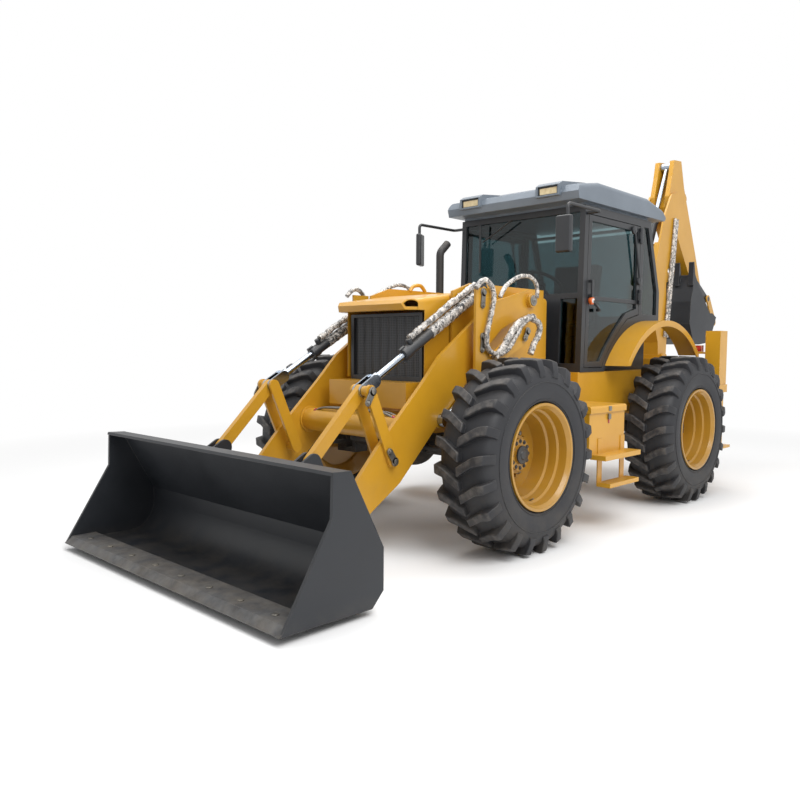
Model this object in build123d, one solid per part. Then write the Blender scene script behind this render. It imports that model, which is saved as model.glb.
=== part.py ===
"""Backhoe loader: front loader, cab, four equal wheels and a side-shift backhoe.

Millimetres, +X forward, +Y to the machine's left, +Z up.  The model is built with
X = 0 over the front axle and Z = 0 on the ground, then moved so that its origin is
the bottom centre of its bounding box.
"""
from build123d import *
from math import atan2, cos, degrees, hypot, pi, radians, sin, sqrt, tan
import os

# ---------------------------------------------------------------- driving sizes
WHEELBASE = 2286
TYRE_R = 605            # over the lugs
TYRE_WIDTH = 404
WHEEL_Y = 890           # centre plane of each wheel
RIM_R = 332             # outer edge of the rim flange
LUG_HEIGHT = 38
LUG_COUNT = 22          # lugs each side of the tread
KINGPIN_Y = 700
STEER_ANGLE = 20

PIN_GAP = 0.05          # radial running clearance of a pin in its bore
SIDE_GAP = 2.0          # side clearance between plates on one pin
SEAT = 0.3              # clearance between pieces that rest on each other

# Loader planes, measured from the machine's centre plane
ARM_Y, ARM_PLATE = 490, 28
DUMP_Y = 436
LIFT_Y = 527
LINK_WIDTH = 38
CHEEK = 12
LEVER_PLATE = 18
TOWER_PLATE = 19
TOWER_IN_Y = 377
TOWER_OUT_Y = 568

# Loader pins in side view
ARM_PIVOT = (-665, 1605)
LIFT_BASE = (-500, 1385)
LIFT_LUG = (290, 812)
DUMP_BASE = (-190, 1655)
LEVER_FOOT = (735, 597)
LEVER_TOP = (920, 1018)
BUCKET_HINGE = (1110, 222)
TUBE_AT, TUBE_R = (552, 770), 80
LIFT_RANGE = 80
TILT_BACK, TILT_OUT = 35, 65

# Loader bucket
BUCKET_WIDTH = 2212
BUCKET_SKIN = 14
BUCKET_SIDE = 16
LIP_X, LIP_Z = 2003, 40
BUCKET_BACK_X = 1395
BUCKET_TOP = (1604, 710)
EDGE_DEPTH, EDGE_PLATE = 190, 25
EDGE_BOLTS, EDGE_BOLT_R = 8, 9.0
EDGE_BOLT_PITCH = 270

# Body
HOOD_HALF = 366
HOOD_SKIN = 4
HOOD_FRONT, HOOD_REAR = 300, -1090
HOOD_LOW = 1062
HOOD_HINGE = (-960, 1600)
HOOD_PIN_R = 14
NOSE_TOP = 1046
RAIL_Y, RAIL_WIDTH = 230, 60
RAIL_LOW, RAIL_HIGH = 790, 1020
CAB_HALF, CAB_WALL = 600, 42
CAB_FLOOR = 1085
CAB_FRONT, CAB_ROOF_Z = -1205, 2350
DOOR_GAP = 6
ARCH_AT, ARCH_R = (-2290, 650), 850

# Backhoe: its own centre plane and pins in side view
HOE_Y = 100
SWING_X = -3345
SWING_ANGLE = 90
BOOM_FOOT = (-3401, 1147)
BOOM_HEAD = (-3626, 2755)
BOOM_CYL_BASE = (-3545, 840)
BOOM_CYL_LUG = (-3585, 1997)
DIPPER_CYL_BASE = (-3032, 1710)
DIPPER_CYL_LUG = (-3657, 3113)
DIPPER_END = (-4384, 1710)
BOOM_HALF, HOE_PLATE = 122, 18
DIPPER_HALF = 100
LEVER_UP = 307          # lever pivot above the bucket pivot, along the dipper
LEVER_LONG = 297
LEVER_ANGLE = 209       # of the bucket lever at rest, from +X in side view
BOOM_DOWN, DIPPER_OUT, BUCKET_OUT = 100, 100, 110
HOE_BUCKET_WIDTH = 500
SLIDE_LEFT, SLIDE_RIGHT = 450, 650

# Stabilisers and slide frame
LEG_Y, LEG_HALF_Y = 921, 66
LEG_FRONT, LEG_REAR = -2912, -3070
LEG_TOP, SLEEVE_LOW = 1429, 880
FOOT_Z, LEG_DROP = 380, 450
FRAME_REAR = -3072


# ---------------------------------------------------------------- shape helpers
def block(x0, x1, y0, y1, z0, z1):
    """A box between two corners."""
    return Pos((x0 + x1) / 2, (y0 + y1) / 2, (z0 + z1) / 2) * Box(abs(x1 - x0), abs(y1 - y0), abs(z1 - z0))


def plate(outline, y0, y1, radius=0):
    """A flat plate with an (x, z) outline, from y0 to y1, its corners rounded."""
    face = make_face(Plane.XZ * Polyline(*outline, close=True))
    if radius:
        face = fillet(face.vertices(), radius)
    low, high = min(y0, y1), max(y0, y1)
    return Pos(0, low, 0) * extrude(face, amount=high - low, dir=(0, 1, 0))


def pin(at, radius, y0, y1):
    """A round bar across the machine, from y0 to y1."""
    return Pos(at[0], (y0 + y1) / 2, at[1]) * Rot(90, 0, 0) * Cylinder(radius, abs(y1 - y0))


def bar(start, end, half, y0, y1):
    """A flat bar with round ends between two pins."""
    angle = degrees(atan2(end[1] - start[1], end[0] - start[0]))
    length = hypot(end[0] - start[0], end[1] - start[1])
    middle = ((start[0] + end[0]) / 2, (start[1] + end[1]) / 2)
    body = Pos(middle[0], (y0 + y1) / 2, middle[1]) * Rot(0, -angle, 0) * Box(length, abs(y1 - y0), 2 * half)
    return body + pin(start, half, y0, y1) + pin(end, half, y0, y1)


def rod(start, end, radius, y):
    """A round bar in the side-view plane at y, from start to end."""
    axis = Vector(end[0] - start[0], 0, end[1] - start[1])
    plane = Plane(origin=((start[0] + end[0]) / 2, y, (start[1] + end[1]) / 2), z_dir=axis)
    return plane * Cylinder(radius, axis.length)


def along(start, end, distance):
    """The point at a distance from start towards end."""
    length = hypot(end[0] - start[0], end[1] - start[1])
    share = distance / length
    return (start[0] + share * (end[0] - start[0]), start[1] + share * (end[1] - start[1]))


def polar(at, length, angle):
    """The point at a length and an angle in degrees from another."""
    return (at[0] + length * cos(radians(angle)), at[1] + length * sin(radians(angle)))


def turned(point, centre, angle):
    """A side-view point turned about a centre, positive from +X towards +Z."""
    dx, dz = point[0] - centre[0], point[1] - centre[1]
    c, s = cos(radians(angle)), sin(radians(angle))
    return (centre[0] + c * dx - s * dz, centre[1] + s * dx + c * dz)


def gap(start, end):
    """The distance between two side-view points."""
    return hypot(end[0] - start[0], end[1] - start[1])


def heading(start, end):
    """The angle in degrees from one side-view point to another."""
    return degrees(atan2(end[1] - start[1], end[0] - start[0]))


def both(shape):
    """A left-hand piece with its mirror image on the right."""
    return [shape, mirror(shape, about=Plane.XZ)]


def shell_of(outline, inner, y0, y1, radius, inner_radius):
    """A bent sheet: an outline less a smaller one, both with one kind of round corner."""
    return plate(outline, y0, y1, radius) - plate(inner, y0 - 1, y1 + 1, inner_radius)


def tidy(shape):
    """One shape from a list, or the shape itself."""
    return Compound(children=list(shape)) if isinstance(shape, (list, tuple)) else shape


# ---------------------------------------------------------------- wheels
TYRE_BEAD_R = RIM_R - 22
LUG_WIDE, LUG_LEAN = 60, 92     # round the tread: a bar's width, and how far its shoulder trails
# radius, share of the half width: the casing from bead to crown
TYRE_PROFILE = [(TYRE_BEAD_R + 12, 0.76), (TYRE_BEAD_R + 60, 0.97), (TYRE_R - 125, 1.0),
                (TYRE_R - LUG_HEIGHT - 25, 0.86), (TYRE_R - LUG_HEIGHT, 0.55)]


def wheel_polygon(radius, y):
    """One polygon of a faceted tyre, in the plane of a wheel at y."""
    plane = Plane(origin=(0, y, 0), x_dir=(1, 0, 0), z_dir=(0, 1, 0))
    return plane * RegularPolygon(radius, LUG_COUNT)


def tyre():
    """A wide tyre centred on its axle: faceted casing, bore for the rim, dog-leg lugs."""
    half = TYRE_WIDTH / 2
    rows = [(r, -share * half) for r, share in TYRE_PROFILE]
    rows += [(r, share * half) for r, share in reversed(TYRE_PROFILE)]
    casing = loft([wheel_polygon(r, y) for r, y in rows], ruled=True)
    bore = wheel_polygon(TYRE_BEAD_R / cos(pi / LUG_COUNT), -half - 1)
    casing -= extrude(bore, amount=2 * half + 2, dir=(0, 1, 0))
    step = 360 / LUG_COUNT
    bars = {side: lug(side) for side in (-1, 1)}
    lugs = []
    for side in (-1, 1):
        for count in range(LUG_COUNT):
            turn = (count + (0.5 if side > 0 else 0)) * step
            lugs.append(Rot(0, turn, 0) * bars[side])
    return casing + lugs


def lug(side):
    """One tread bar: slanted off the crown, bent, and straight out over the shoulder."""
    half = TYRE_WIDTH / 2
    wide, lean = LUG_WIDE / 2, LUG_LEAN / 2
    # along the tread, across it: the bar's middle line from crown to shoulder
    crown, bend, end = (lean, -6), (-0.55 * lean, 0.55 * half), (-lean, 0.97 * half)
    line = [crown, bend, end]
    outline = [(x - wide, side * y) for x, y in line] + [(x + wide, side * y) for x, y in reversed(line)]
    foot = TYRE_R - 3 * LUG_HEIGHT
    top = sqrt(TYRE_R ** 2 - (lean + wide) ** 2)
    shape = extrude(Plane(origin=(0, 0, foot)) * make_face(Polyline(*outline, close=True)), amount=top - foot, dir=(0, 0, 1))
    shoulder = [(side * 0.84 * half, TYRE_R + 5), (side * (half + 5), TYRE_R + 5), (side * (half + 5), TYRE_R - 100)]
    return shape - Pos(-200, 0, 0) * extrude(make_face(Plane.YZ * Polyline(*shoulder, close=True)), amount=400, dir=(1, 0, 0))


DISC = (-80, -62)       # the rim's disc, from the wheel's centre plane
HUB_FACE = -8
SPINDLE_END = -16


def rim():
    """A deep rim with stepped ribs, its disc and the planetary hub bolted in it."""
    half = TYRE_WIDTH / 2 - 12
    bead = TYRE_BEAD_R - 0.4
    # distance from the wheel's centre plane, radius: the outer skin of the barrel
    outer = [(-half, RIM_R), (-half + 16, RIM_R), (-half + 22, bead), (half - 22, bead),
             (half - 16, RIM_R), (half, RIM_R)]
    # the inner skin, stepped down to the disc
    inner = [(half, RIM_R - 16), (half - 24, bead - 12), (half - 78, bead - 16), (half - 88, bead - 30),
             (half - 144, bead - 34), (half - 154, bead - 48), (DISC[1], bead - 54), (DISC[0] - 20, bead - 54),
             (-half + 30, bead - 14), (-half, RIM_R - 16)]
    barrel = revolve(Plane.YZ * make_face(Polyline(*(outer + inner), close=True)), axis=Axis.Y)
    disc = pin((0, 0), bead - 53, *DISC)
    hub = pin((0, 0), 120, DISC[1] - 1, HUB_FACE) + pin((0, 0), 100, HUB_FACE, HUB_FACE + 24)
    hub += pin((0, 0), 58, HUB_FACE + 24, HUB_FACE + 36) + pin((0, 0), 110, -96, DISC[0])
    whole = barrel + disc + hub
    whole -= pin((0, 0), SPINDLE_R + PIN_GAP, -97, SPINDLE_END + 2)
    for count in range(10):
        whole += Rot(0, 36 * count, 0) * pin((152, 0), 12, DISC[1] - 1, DISC[1] + 22)
    return whole


# ---------------------------------------------------------------- front loader
def arm_top():
    """Upper edge of a loader arm, from its pivot down to the bucket."""
    return [(ARM_PIVOT[0], ARM_PIVOT[1] + 76), (-160, 1560), (-70, 1470), (300, 1218),
            (473, 1040), (810, 722), (1011, 509), (BUCKET_HINGE[0] + 56, BUCKET_HINGE[1] + 50)]


def arm_bottom():
    """Lower edge of a loader arm, from the bucket back to its pivot."""
    return [(BUCKET_HINGE[0] - 46, BUCKET_HINGE[1] - 60), (896, 315), (663, 456), (339, 766), (0, 1080),
            (-145, 1250), (-330, 1395), (ARM_PIVOT[0], ARM_PIVOT[1] - 76)]


ARM_IN, ARM_OUT = ARM_Y - ARM_PLATE / 2, ARM_Y + ARM_PLATE / 2


def loader_arms():
    """Two arm plates on one torque tube, bored for every pin."""
    arm = plate(arm_top() + arm_bottom(), ARM_IN, ARM_OUT)
    arm += pin(ARM_PIVOT, 76, ARM_IN, ARM_OUT) + pin(BUCKET_HINGE, 75, ARM_IN, ARM_OUT)
    arm += pin(LIFT_LUG, 55, ARM_IN, ARM_OUT)
    arm += pin(ARM_PIVOT, 52, ARM_IN - 12, ARM_OUT + 14)
    for at, radius in ((ARM_PIVOT, 35), (LEVER_FOOT, 28), (BUCKET_HINGE, 32)):
        arm -= pin(at, radius + PIN_GAP, ARM_IN - 40, ARM_OUT + 40)
    left, right = both(arm)
    return left + right + pin(TUBE_AT, TUBE_R, -ARM_IN, ARM_IN)


def bucket_outline(inset):
    """Side outline of the bucket's sheet, drawn in by a skin's thickness."""
    return [(LIP_X + 60 if inset else LIP_X - 18, LIP_Z + inset),
            (BUCKET_BACK_X + inset, LIP_Z + inset), (BUCKET_BACK_X + inset, LIP_Z + 280),
            (BUCKET_TOP[0] + 0.9 * inset, BUCKET_TOP[1] - inset),
            (BUCKET_TOP[0] + 106 + (80 if inset else 0), BUCKET_TOP[1] + 4 - inset)]


LINK_IN, LINK_OUT = DUMP_Y - LINK_WIDTH / 2, DUMP_Y + LINK_WIDTH / 2
LINK_FOOT = (BUCKET_HINGE[0] + LEVER_TOP[0] - LEVER_FOOT[0], BUCKET_HINGE[1] + LEVER_TOP[1] - LEVER_FOOT[1])
EAR_ROOT = [(BUCKET_BACK_X + 8, 100), (BUCKET_BACK_X + 8, LIP_Z + 290), (BUCKET_BACK_X + 135, 560)]
LINK_EAR = EAR_ROOT[1:] + [polar(LINK_FOOT, 50, 60), polar(LINK_FOOT, 50, 200)]
ARM_EAR = EAR_ROOT[:2] + [(BUCKET_BACK_X, 420), polar(BUCKET_HINGE, 66, 100), polar(BUCKET_HINGE, 66, 260)]
FULL_EAR = EAR_ROOT + [polar(LINK_FOOT, 50, 60), polar(LINK_FOOT, 50, 170), polar(BUCKET_HINGE, 66, 150),
                       polar(BUCKET_HINGE, 66, 250)]
# inner face, outer face, outline, pins that it carries
EARS = [
    (LINK_IN - 24, LINK_IN - 8, LINK_EAR, [LINK_FOOT]),
    (LINK_OUT + 4, ARM_IN - 4, FULL_EAR, [LINK_FOOT, BUCKET_HINGE]),
    (ARM_OUT + 4, ARM_OUT + 22, ARM_EAR, [BUCKET_HINGE]),
]


def loader_bucket():
    """Rolled sheet with side plates, a spill lip, a bolt-on edge and pinned ears."""
    half = BUCKET_WIDTH / 2
    body = plate(bucket_outline(0), -half + 1, half - 1) - plate(bucket_outline(BUCKET_SKIN), -half, half)
    corner = (BUCKET_BACK_X, LIP_Z)
    roll = 190
    fill = block(corner[0] + 2, corner[0] + roll, -half + 2, half - 2, corner[1] + 2, corner[1] + roll)
    fill -= pin((corner[0] + roll, corner[1] + roll), roll - BUCKET_SKIN, -half, half)
    body += fill
    body -= plate([(corner[0] - 1, corner[1] - 1), (corner[0] + 70, corner[1] - 1), (corner[0] - 1, corner[1] + 70)],
                  -half, half)
    side = [(LIP_X - 4, LIP_Z + 2), (corner[0] + 70, corner[1] - 4), (corner[0] - 4, corner[1] + 70),
            (BUCKET_BACK_X - 4, LIP_Z + 280), (BUCKET_TOP[0] - 4, BUCKET_TOP[1]),
            (BUCKET_TOP[0] + 104, BUCKET_TOP[1] + 4), (1715, 503)]
    for piece in both(plate(side, half - BUCKET_SIDE, half)):
        body += piece
    edge = [(LIP_X, LIP_Z), (LIP_X - EDGE_DEPTH, LIP_Z), (LIP_X - EDGE_DEPTH, LIP_Z + EDGE_PLATE + BUCKET_SKIN),
            (LIP_X - 40, LIP_Z + EDGE_PLATE + BUCKET_SKIN)]
    body += plate(edge, -half + 1, half - 1)
    for count in range(EDGE_BOLTS):
        y = (count - (EDGE_BOLTS - 1) / 2) * EDGE_BOLT_PITCH
        body -= Pos(LIP_X - EDGE_DEPTH / 2, y, LIP_Z) * Cylinder(EDGE_BOLT_R, 200)
    for inner, outer, outline, pins in EARS:
        ear = plate(outline, inner, outer)
        for at in pins:
            ear += pin(at, 50 if at == LINK_FOOT else 66, inner, outer)
        for piece in both(ear):
            body += piece
    for piece in both(pin(BUCKET_HINGE, 32, EARS[1][0], EARS[2][1])):
        body += piece
    for piece in both(pin(LINK_FOOT, 28, EARS[0][0], EARS[1][1])):
        body += piece
    return body


FORK_GAP = 0.6
CHEEK_IN = (LINK_IN - FORK_GAP - CHEEK, LINK_IN - FORK_GAP)
CHEEK_OUT = (LINK_OUT + FORK_GAP, LINK_OUT + FORK_GAP + CHEEK)
LEVER_OUT = (ARM_OUT + SIDE_GAP, ARM_OUT + SIDE_GAP + LEVER_PLATE)
LEVER_IN = (CHEEK_IN[0] - SIDE_GAP - LEVER_PLATE, CHEEK_IN[0] - SIDE_GAP)


def bell_crank():
    """Left pair of levers on the arm's pin, with bosses that meet the rod's fork."""
    pair = bar(LEVER_FOOT, LEVER_TOP, 37, *LEVER_OUT) + bar(LEVER_FOOT, LEVER_TOP, 37, *LEVER_IN)
    pair += pin(LEVER_FOOT, 28, LEVER_IN[0], LEVER_OUT[1] + 6)
    pair += pin(LEVER_TOP, 30, CHEEK_OUT[1] + 0.5, LEVER_OUT[0] + 1)
    pair += pin(LEVER_TOP, 22, LEVER_OUT[1], LEVER_OUT[1] + 8)
    return pair


def tipping_link():
    """Left link from the lever's top to the bucket's ears."""
    link = bar(LEVER_TOP, LINK_FOOT, 36, LINK_IN, LINK_OUT)
    return link - pin(LINK_FOOT, 28 + 1.5, LINK_IN - 1, LINK_OUT + 1)


def barrel_of(start, end, y, radius, first, last, bore, eye, eye_width, bore_pin):
    """A cylinder's barrel: rear eye, tube with a bore for the rod, and a gland."""
    tube = rod(along(start, end, first), along(start, end, last), radius, y)
    tube += rod(along(start, end, last - 60), along(start, end, last), radius * 1.14, y)
    tube += pin(start, eye, y - eye_width / 2, y + eye_width / 2)
    tube -= rod(along(start, end, first + 20), along(start, end, last + 1), bore + PIN_GAP, y)
    return tube - pin(start, bore_pin + PIN_GAP, y - eye_width, y + eye_width)


# The dump cylinder's fork ends short of its pin, and its rod fills the barrel's bore
DUMP_BARREL = (40, 870)
DUMP_ROD_R, DUMP_BARREL_R = 22, 34
DUMP_PIN_R = 25


def dump_barrel():
    return barrel_of(DUMP_BASE, LEVER_TOP, DUMP_Y, DUMP_BARREL_R, *DUMP_BARREL, DUMP_ROD_R, 44, 44, DUMP_PIN_R)


def dump_rod():
    """Left dump rod with its two-cheek fork, slotted back from the pin."""
    length = gap(DUMP_BASE, LEVER_TOP)
    shape = rod(along(DUMP_BASE, LEVER_TOP, 352), along(DUMP_BASE, LEVER_TOP, length - 112), DUMP_ROD_R, DUMP_Y)
    root = along(DUMP_BASE, LEVER_TOP, length - 110)
    shape += bar(root, LEVER_TOP, 38, *CHEEK_IN) + bar(root, LEVER_TOP, 38, *CHEEK_OUT)
    shape += rod(along(DUMP_BASE, LEVER_TOP, length - 150), along(DUMP_BASE, LEVER_TOP, length - 108), 31.5, DUMP_Y)
    slot = along(DUMP_BASE, LEVER_TOP, length - 60)
    return shape - bar(slot, LEVER_TOP, 44, CHEEK_IN[1], CHEEK_OUT[0])


LIFT_BARREL = (40, 580)
LIFT_ROD_R, LIFT_BARREL_R = 20, 34
LIFT_PIN_R = 25


def lift_barrel():
    """Left lift barrel, outboard of the arm."""
    return barrel_of(LIFT_BASE, LIFT_LUG, LIFT_Y, LIFT_BARREL_R, *LIFT_BARREL, LIFT_ROD_R, 44, 42, LIFT_PIN_R)


def lift_rod():
    """Left lift rod with its eye beside the arm's lug."""
    length = gap(LIFT_BASE, LIFT_LUG)
    shape = rod(along(LIFT_BASE, LIFT_LUG, 230), along(LIFT_BASE, LIFT_LUG, length - 20), LIFT_ROD_R, LIFT_Y)
    return shape + pin(LIFT_LUG, 42, ARM_OUT + SIDE_GAP, LIFT_Y + 21)


# ---------------------------------------------------------------- frame and axles
TOWER_IN = (TOWER_IN_Y, TOWER_IN_Y + TOWER_PLATE)
TOWER_OUT = (TOWER_OUT_Y, TOWER_OUT_Y + TOWER_PLATE)
TOWER_TOP = 1702


def tower():
    """Left loader tower: tall inner plate, outer strip and gusset, and the three fixed pins."""
    inner = [(60, 800), (60, 1640), (-130, TOWER_TOP), (-1000, TOWER_TOP), (-1000, 1120), (-640, 800)]
    shape = plate(inner, *TOWER_IN)
    strip = [(55, 800), (55, 1655), (-95, 1655), (-95, 1205), (-470, 1445), (-560, 1380), (-500, 1292),
             (-250, 1185), (-130, 1010), (-95, 800)]
    shape += plate(strip, *TOWER_OUT)
    box = block(-90, 50, TOWER_IN[1] - 1, TOWER_OUT[0] + 1, 820, 945)
    shape += box - block(-80, 40, TOWER_IN[1] - 2, TOWER_OUT[0] + 2, 830, 935)
    shape += pin(LIFT_BASE, 62, *TOWER_OUT)
    shape += pin(LIFT_BASE, LIFT_PIN_R, LIFT_Y - 24, TOWER_OUT[1] + 12)
    shape += pin(DUMP_BASE, DUMP_PIN_R, TOWER_IN[0], DUMP_Y + 25)
    shape += pin(HOOD_HINGE, HOOD_PIN_R, HOOD_HALF - HOOD_SKIN - 8, TOWER_IN[1])
    shape += pin(ARM_PIVOT, 60, TOWER_IN[0], ARM_IN - 12 - SIDE_GAP)
    shape += pin(ARM_PIVOT, 35, TOWER_IN[0], ARM_OUT + 30)
    shape += pin(ARM_PIVOT, 50, ARM_OUT + 14 + SIDE_GAP, ARM_OUT + 30)
    for x0, x1 in ((-640, -460), (-80, 40)):
        shape += block(x0, x1, RAIL_Y + RAIL_WIDTH / 2 + SEAT, TOWER_IN[0] + 1, 810, 1000)
    return shape


def chassis_frame():
    """Two box rails with cross members, the nose box, axle cradles and the cab's deck."""
    front, rear = 390, -2640
    inner, outer = RAIL_Y - RAIL_WIDTH / 2, RAIL_Y + RAIL_WIDTH / 2
    shape = None
    for piece in both(block(rear, front, inner, outer, RAIL_LOW, RAIL_HIGH)):
        shape = piece if shape is None else shape + piece
    for x0, x1 in ((330, 390), (-1010, -950), (-1560, -1500), (-2640, -2580)):
        shape += block(x0, x1, -inner - 1, inner + 1, RAIL_LOW + 20, RAIL_HIGH - 20)
    nose = [(215, 856), (215, NOSE_TOP), (470, NOSE_TOP), (470, 880), (440, 856)]
    shape += plate(nose, -HOOD_HALF, HOOD_HALF) - plate(
        [(225, 840), (225, NOSE_TOP - 10), (460, NOSE_TOP - 10), (460, 884), (434, 840)], -HOOD_HALF + 10, HOOD_HALF - 10)
    for axle_x in (0, -WHEELBASE):
        for piece in both(plate([(axle_x - 150, RAIL_LOW + 1), (axle_x - 60, 690), (axle_x + 60, 690),
                                 (axle_x + 150, RAIL_LOW + 1)], inner, outer)):
            shape += piece
    deck = block(-2500, -1185, -CAB_HALF + 6, CAB_HALF - 6, CAB_FLOOR - 55, CAB_FLOOR - SEAT)
    deck -= block(-2450, -1240, -inner, inner, CAB_FLOOR - 60, CAB_FLOOR - 10)
    shape += deck + block(-2500, -1185, -inner - 1, inner + 1, RAIL_HIGH - 20, CAB_FLOOR - 40)
    for piece in both(block(-2150, -1185, CAB_HALF - 18, CAB_HALF - 6, 745, CAB_FLOOR - SEAT)):
        shape += piece
    for piece in both(block(-1230, -1185, outer - 1, CAB_HALF - 6, 800, CAB_FLOOR - 50)):
        shape += piece
    return shape


AXLE_R = 72
SPINDLE_R = 46


def axle_housing(x, reach):
    """A drive axle's housing: tapered tubes and a round centre, with pads under the rails."""
    shape = Pos(x, 0, TYRE_R) * Rot(90, 0, 0) * Cylinder(AXLE_R, 2 * reach)
    shape += Pos(x, 0, TYRE_R) * Sphere(165)
    shape -= block(x - 200, x + 200, -200, 200, TYRE_R + 150, TYRE_R + 300)
    for piece in both(block(x - 58, x + 58, RAIL_Y - 32, RAIL_Y + 32, TYRE_R, 690 - SEAT)):
        shape += piece
    return shape


def front_axle():
    """Front drive axle with forked ends, kingpins and the steering cylinder in front."""
    shape = axle_housing(0, 560)
    fork = [(-64, TYRE_R - 124), (64, TYRE_R - 124), (64, TYRE_R + 124), (-64, TYRE_R + 124)]
    for side in (-1, 1):
        y0, y1 = 545, KINGPIN_Y + 44
        yoke = block(-62, 62, y0, y1, TYRE_R - 126, TYRE_R + 126)
        yoke -= block(-90, 90, y0 + 36, y1 + 9, TYRE_R - 96, TYRE_R + 96)
        yoke += Pos(0, KINGPIN_Y, TYRE_R) * Cylinder(24, 250)
        yoke -= Pos(0, KINGPIN_Y, TYRE_R) * Cylinder(30, 100)
        shape += yoke if side > 0 else mirror(yoke, about=Plane.XZ)
    ram = (165, TYRE_R)
    shape += pin(ram, 36, -250, 250) + pin(ram, 17, -470, 470)
    for y in (-190, 190):
        shape += block(60, 170, y - 15, y + 15, TYRE_R - 36, TYRE_R + 30)
    return shape


def rear_axle():
    """Rear drive axle with fixed hubs' spindles."""
    shape = axle_housing(-WHEELBASE, 690)
    for side in (-1, 1):
        at = (-WHEELBASE, TYRE_R)
        shape += pin(at, 118, side * 640, side * 760) + pin(at, SPINDLE_R, side * 750, side * (WHEEL_Y + SPINDLE_END))
    return shape


def knuckle():
    """Left steering knuckle: bored for the kingpins, with the wheel's spindle and its arm."""
    shape = block(-56, 56, KINGPIN_Y - 46, KINGPIN_Y + 50, TYRE_R - 95, TYRE_R + 95)
    shape += pin((0, TYRE_R), 90, KINGPIN_Y + 49, KINGPIN_Y + 90)
    shape += pin((0, TYRE_R), SPINDLE_R, KINGPIN_Y + 80, WHEEL_Y + SPINDLE_END)
    for z in (-1, 1):
        shape -= Pos(0, KINGPIN_Y, TYRE_R + z * 75) * Cylinder(24 + PIN_GAP, 60)
    shape += block(40, 175, KINGPIN_Y - 46, KINGPIN_Y - 18, TYRE_R - 60, TYRE_R - 36)
    return shape


def engine_block():
    half = RAIL_Y - RAIL_WIDTH / 2 - SEAT
    return block(-800, -190, -half, half, 700, 1345)


# ---------------------------------------------------------------- hood and grille
def bonnet():
    """One-piece hood with an overhanging visor, open below and in front, vented each side."""
    top = [(HOOD_FRONT, HOOD_LOW), (HOOD_FRONT, 1506), (428, 1506), (450, 1545), (415, 1572),
           (-40, 1636), (HOOD_REAR, 1650), (HOOD_REAR, HOOD_LOW)]
    skin = HOOD_SKIN
    hollow = [(HOOD_FRONT + 60, HOOD_LOW - 60), (HOOD_FRONT + 60, 1506 + 20), (424, 1526), (436, 1545),
              (413, 1568 - skin), (-40, 1636 - skin), (HOOD_REAR - 60, 1650 - skin), (HOOD_REAR - 60, HOOD_LOW - 60)]
    shape = plate(top, -HOOD_HALF, HOOD_HALF)
    edges = [e for e in shape.edges().filter_by(Axis.Y, reverse=True)
             if e.center().Z > 1560 and abs(abs(e.center().Y) - HOOD_HALF) < 1]
    shape = fillet(edges, 34)
    inside = plate(hollow, -HOOD_HALF + skin, HOOD_HALF - skin)
    edges = [e for e in inside.edges().filter_by(Axis.Y, reverse=True)
             if e.center().Z > 1560 - skin and abs(abs(e.center().Y) - HOOD_HALF + skin) < 1]
    shape -= fillet(edges, 30)
    shape -= pin(HOOD_HINGE, HOOD_PIN_R + PIN_GAP, -HOOD_HALF - 5, HOOD_HALF + 5)
    vent = [(41, 1307), (40, 1398), (-106, 1448), (-107, 1374)]
    shape -= plate(vent, -HOOD_HALF - 5, HOOD_HALF + 5)
    corner = [(352, HOOD_HALF + 1), (460, HOOD_HALF - 74), (460, HOOD_HALF + 1)]
    cut = Pos(0, 0, 1490) * extrude(make_face(Polyline(*corner, close=True)), amount=120)
    for piece in both(cut):
        shape -= piece
    return shape


def grille():
    """Black frame with a folded mesh sheet."""
    x0, x1, half, low, high = 262, HOOD_FRONT - 8, 338, NOSE_TOP + SEAT, 1494
    frame = block(x0, x1, -half, half, low, high) - block(x0 - 5, x1 + 5, -half + 26, half - 26, low + 30, high - 22)
    folds = 16
    pitch = (2 * half - 50) / folds
    front = [(x0 + (20 if k % 2 else 4), -half + 25 + k * pitch) for k in range(folds + 1)]
    back = [(x - 3, y) for x, y in reversed(front)]
    sheet = extrude(make_face(Polyline(*(front + back), close=True)), amount=high - low - 50)
    return frame + Pos(0, 0, low + 28) * sheet


def exhaust():
    """Upright pipe with a swept-back mouth, clamped to the right tower."""
    x, y = -757, -432
    path = FilletPolyline((x, y, 1420), (x, y, 2030), (x - 90, y, 2110), radius=60)
    pipe = sweep(path.location_at(0) * Pos(0, 0, 0) * Circle(31), path=path)
    inner = sweep(path.location_at(0) * Circle(27), path=path)
    clamp = block(x - 40, x + 40, y - 20, -TOWER_IN[1] - SEAT, 1440, 1470)
    return (pipe - inner) + (clamp - Pos(x, y, 1455) * Cylinder(29, 60))


# ---------------------------------------------------------------- cab
CAB_SIDE = [(CAB_FRONT, CAB_FLOOR), (CAB_FRONT - 36, CAB_ROOF_Z), (-2300, CAB_ROOF_Z), (-2500, 1760), (-2500, CAB_FLOOR)]


DOOR_Y = (CAB_HALF - 38, CAB_HALF)
DOOR_HINGE = (-2112, CAB_HALF + 14)
HINGE_Z, HINGE_R = (1700, 2210), 13


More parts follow.
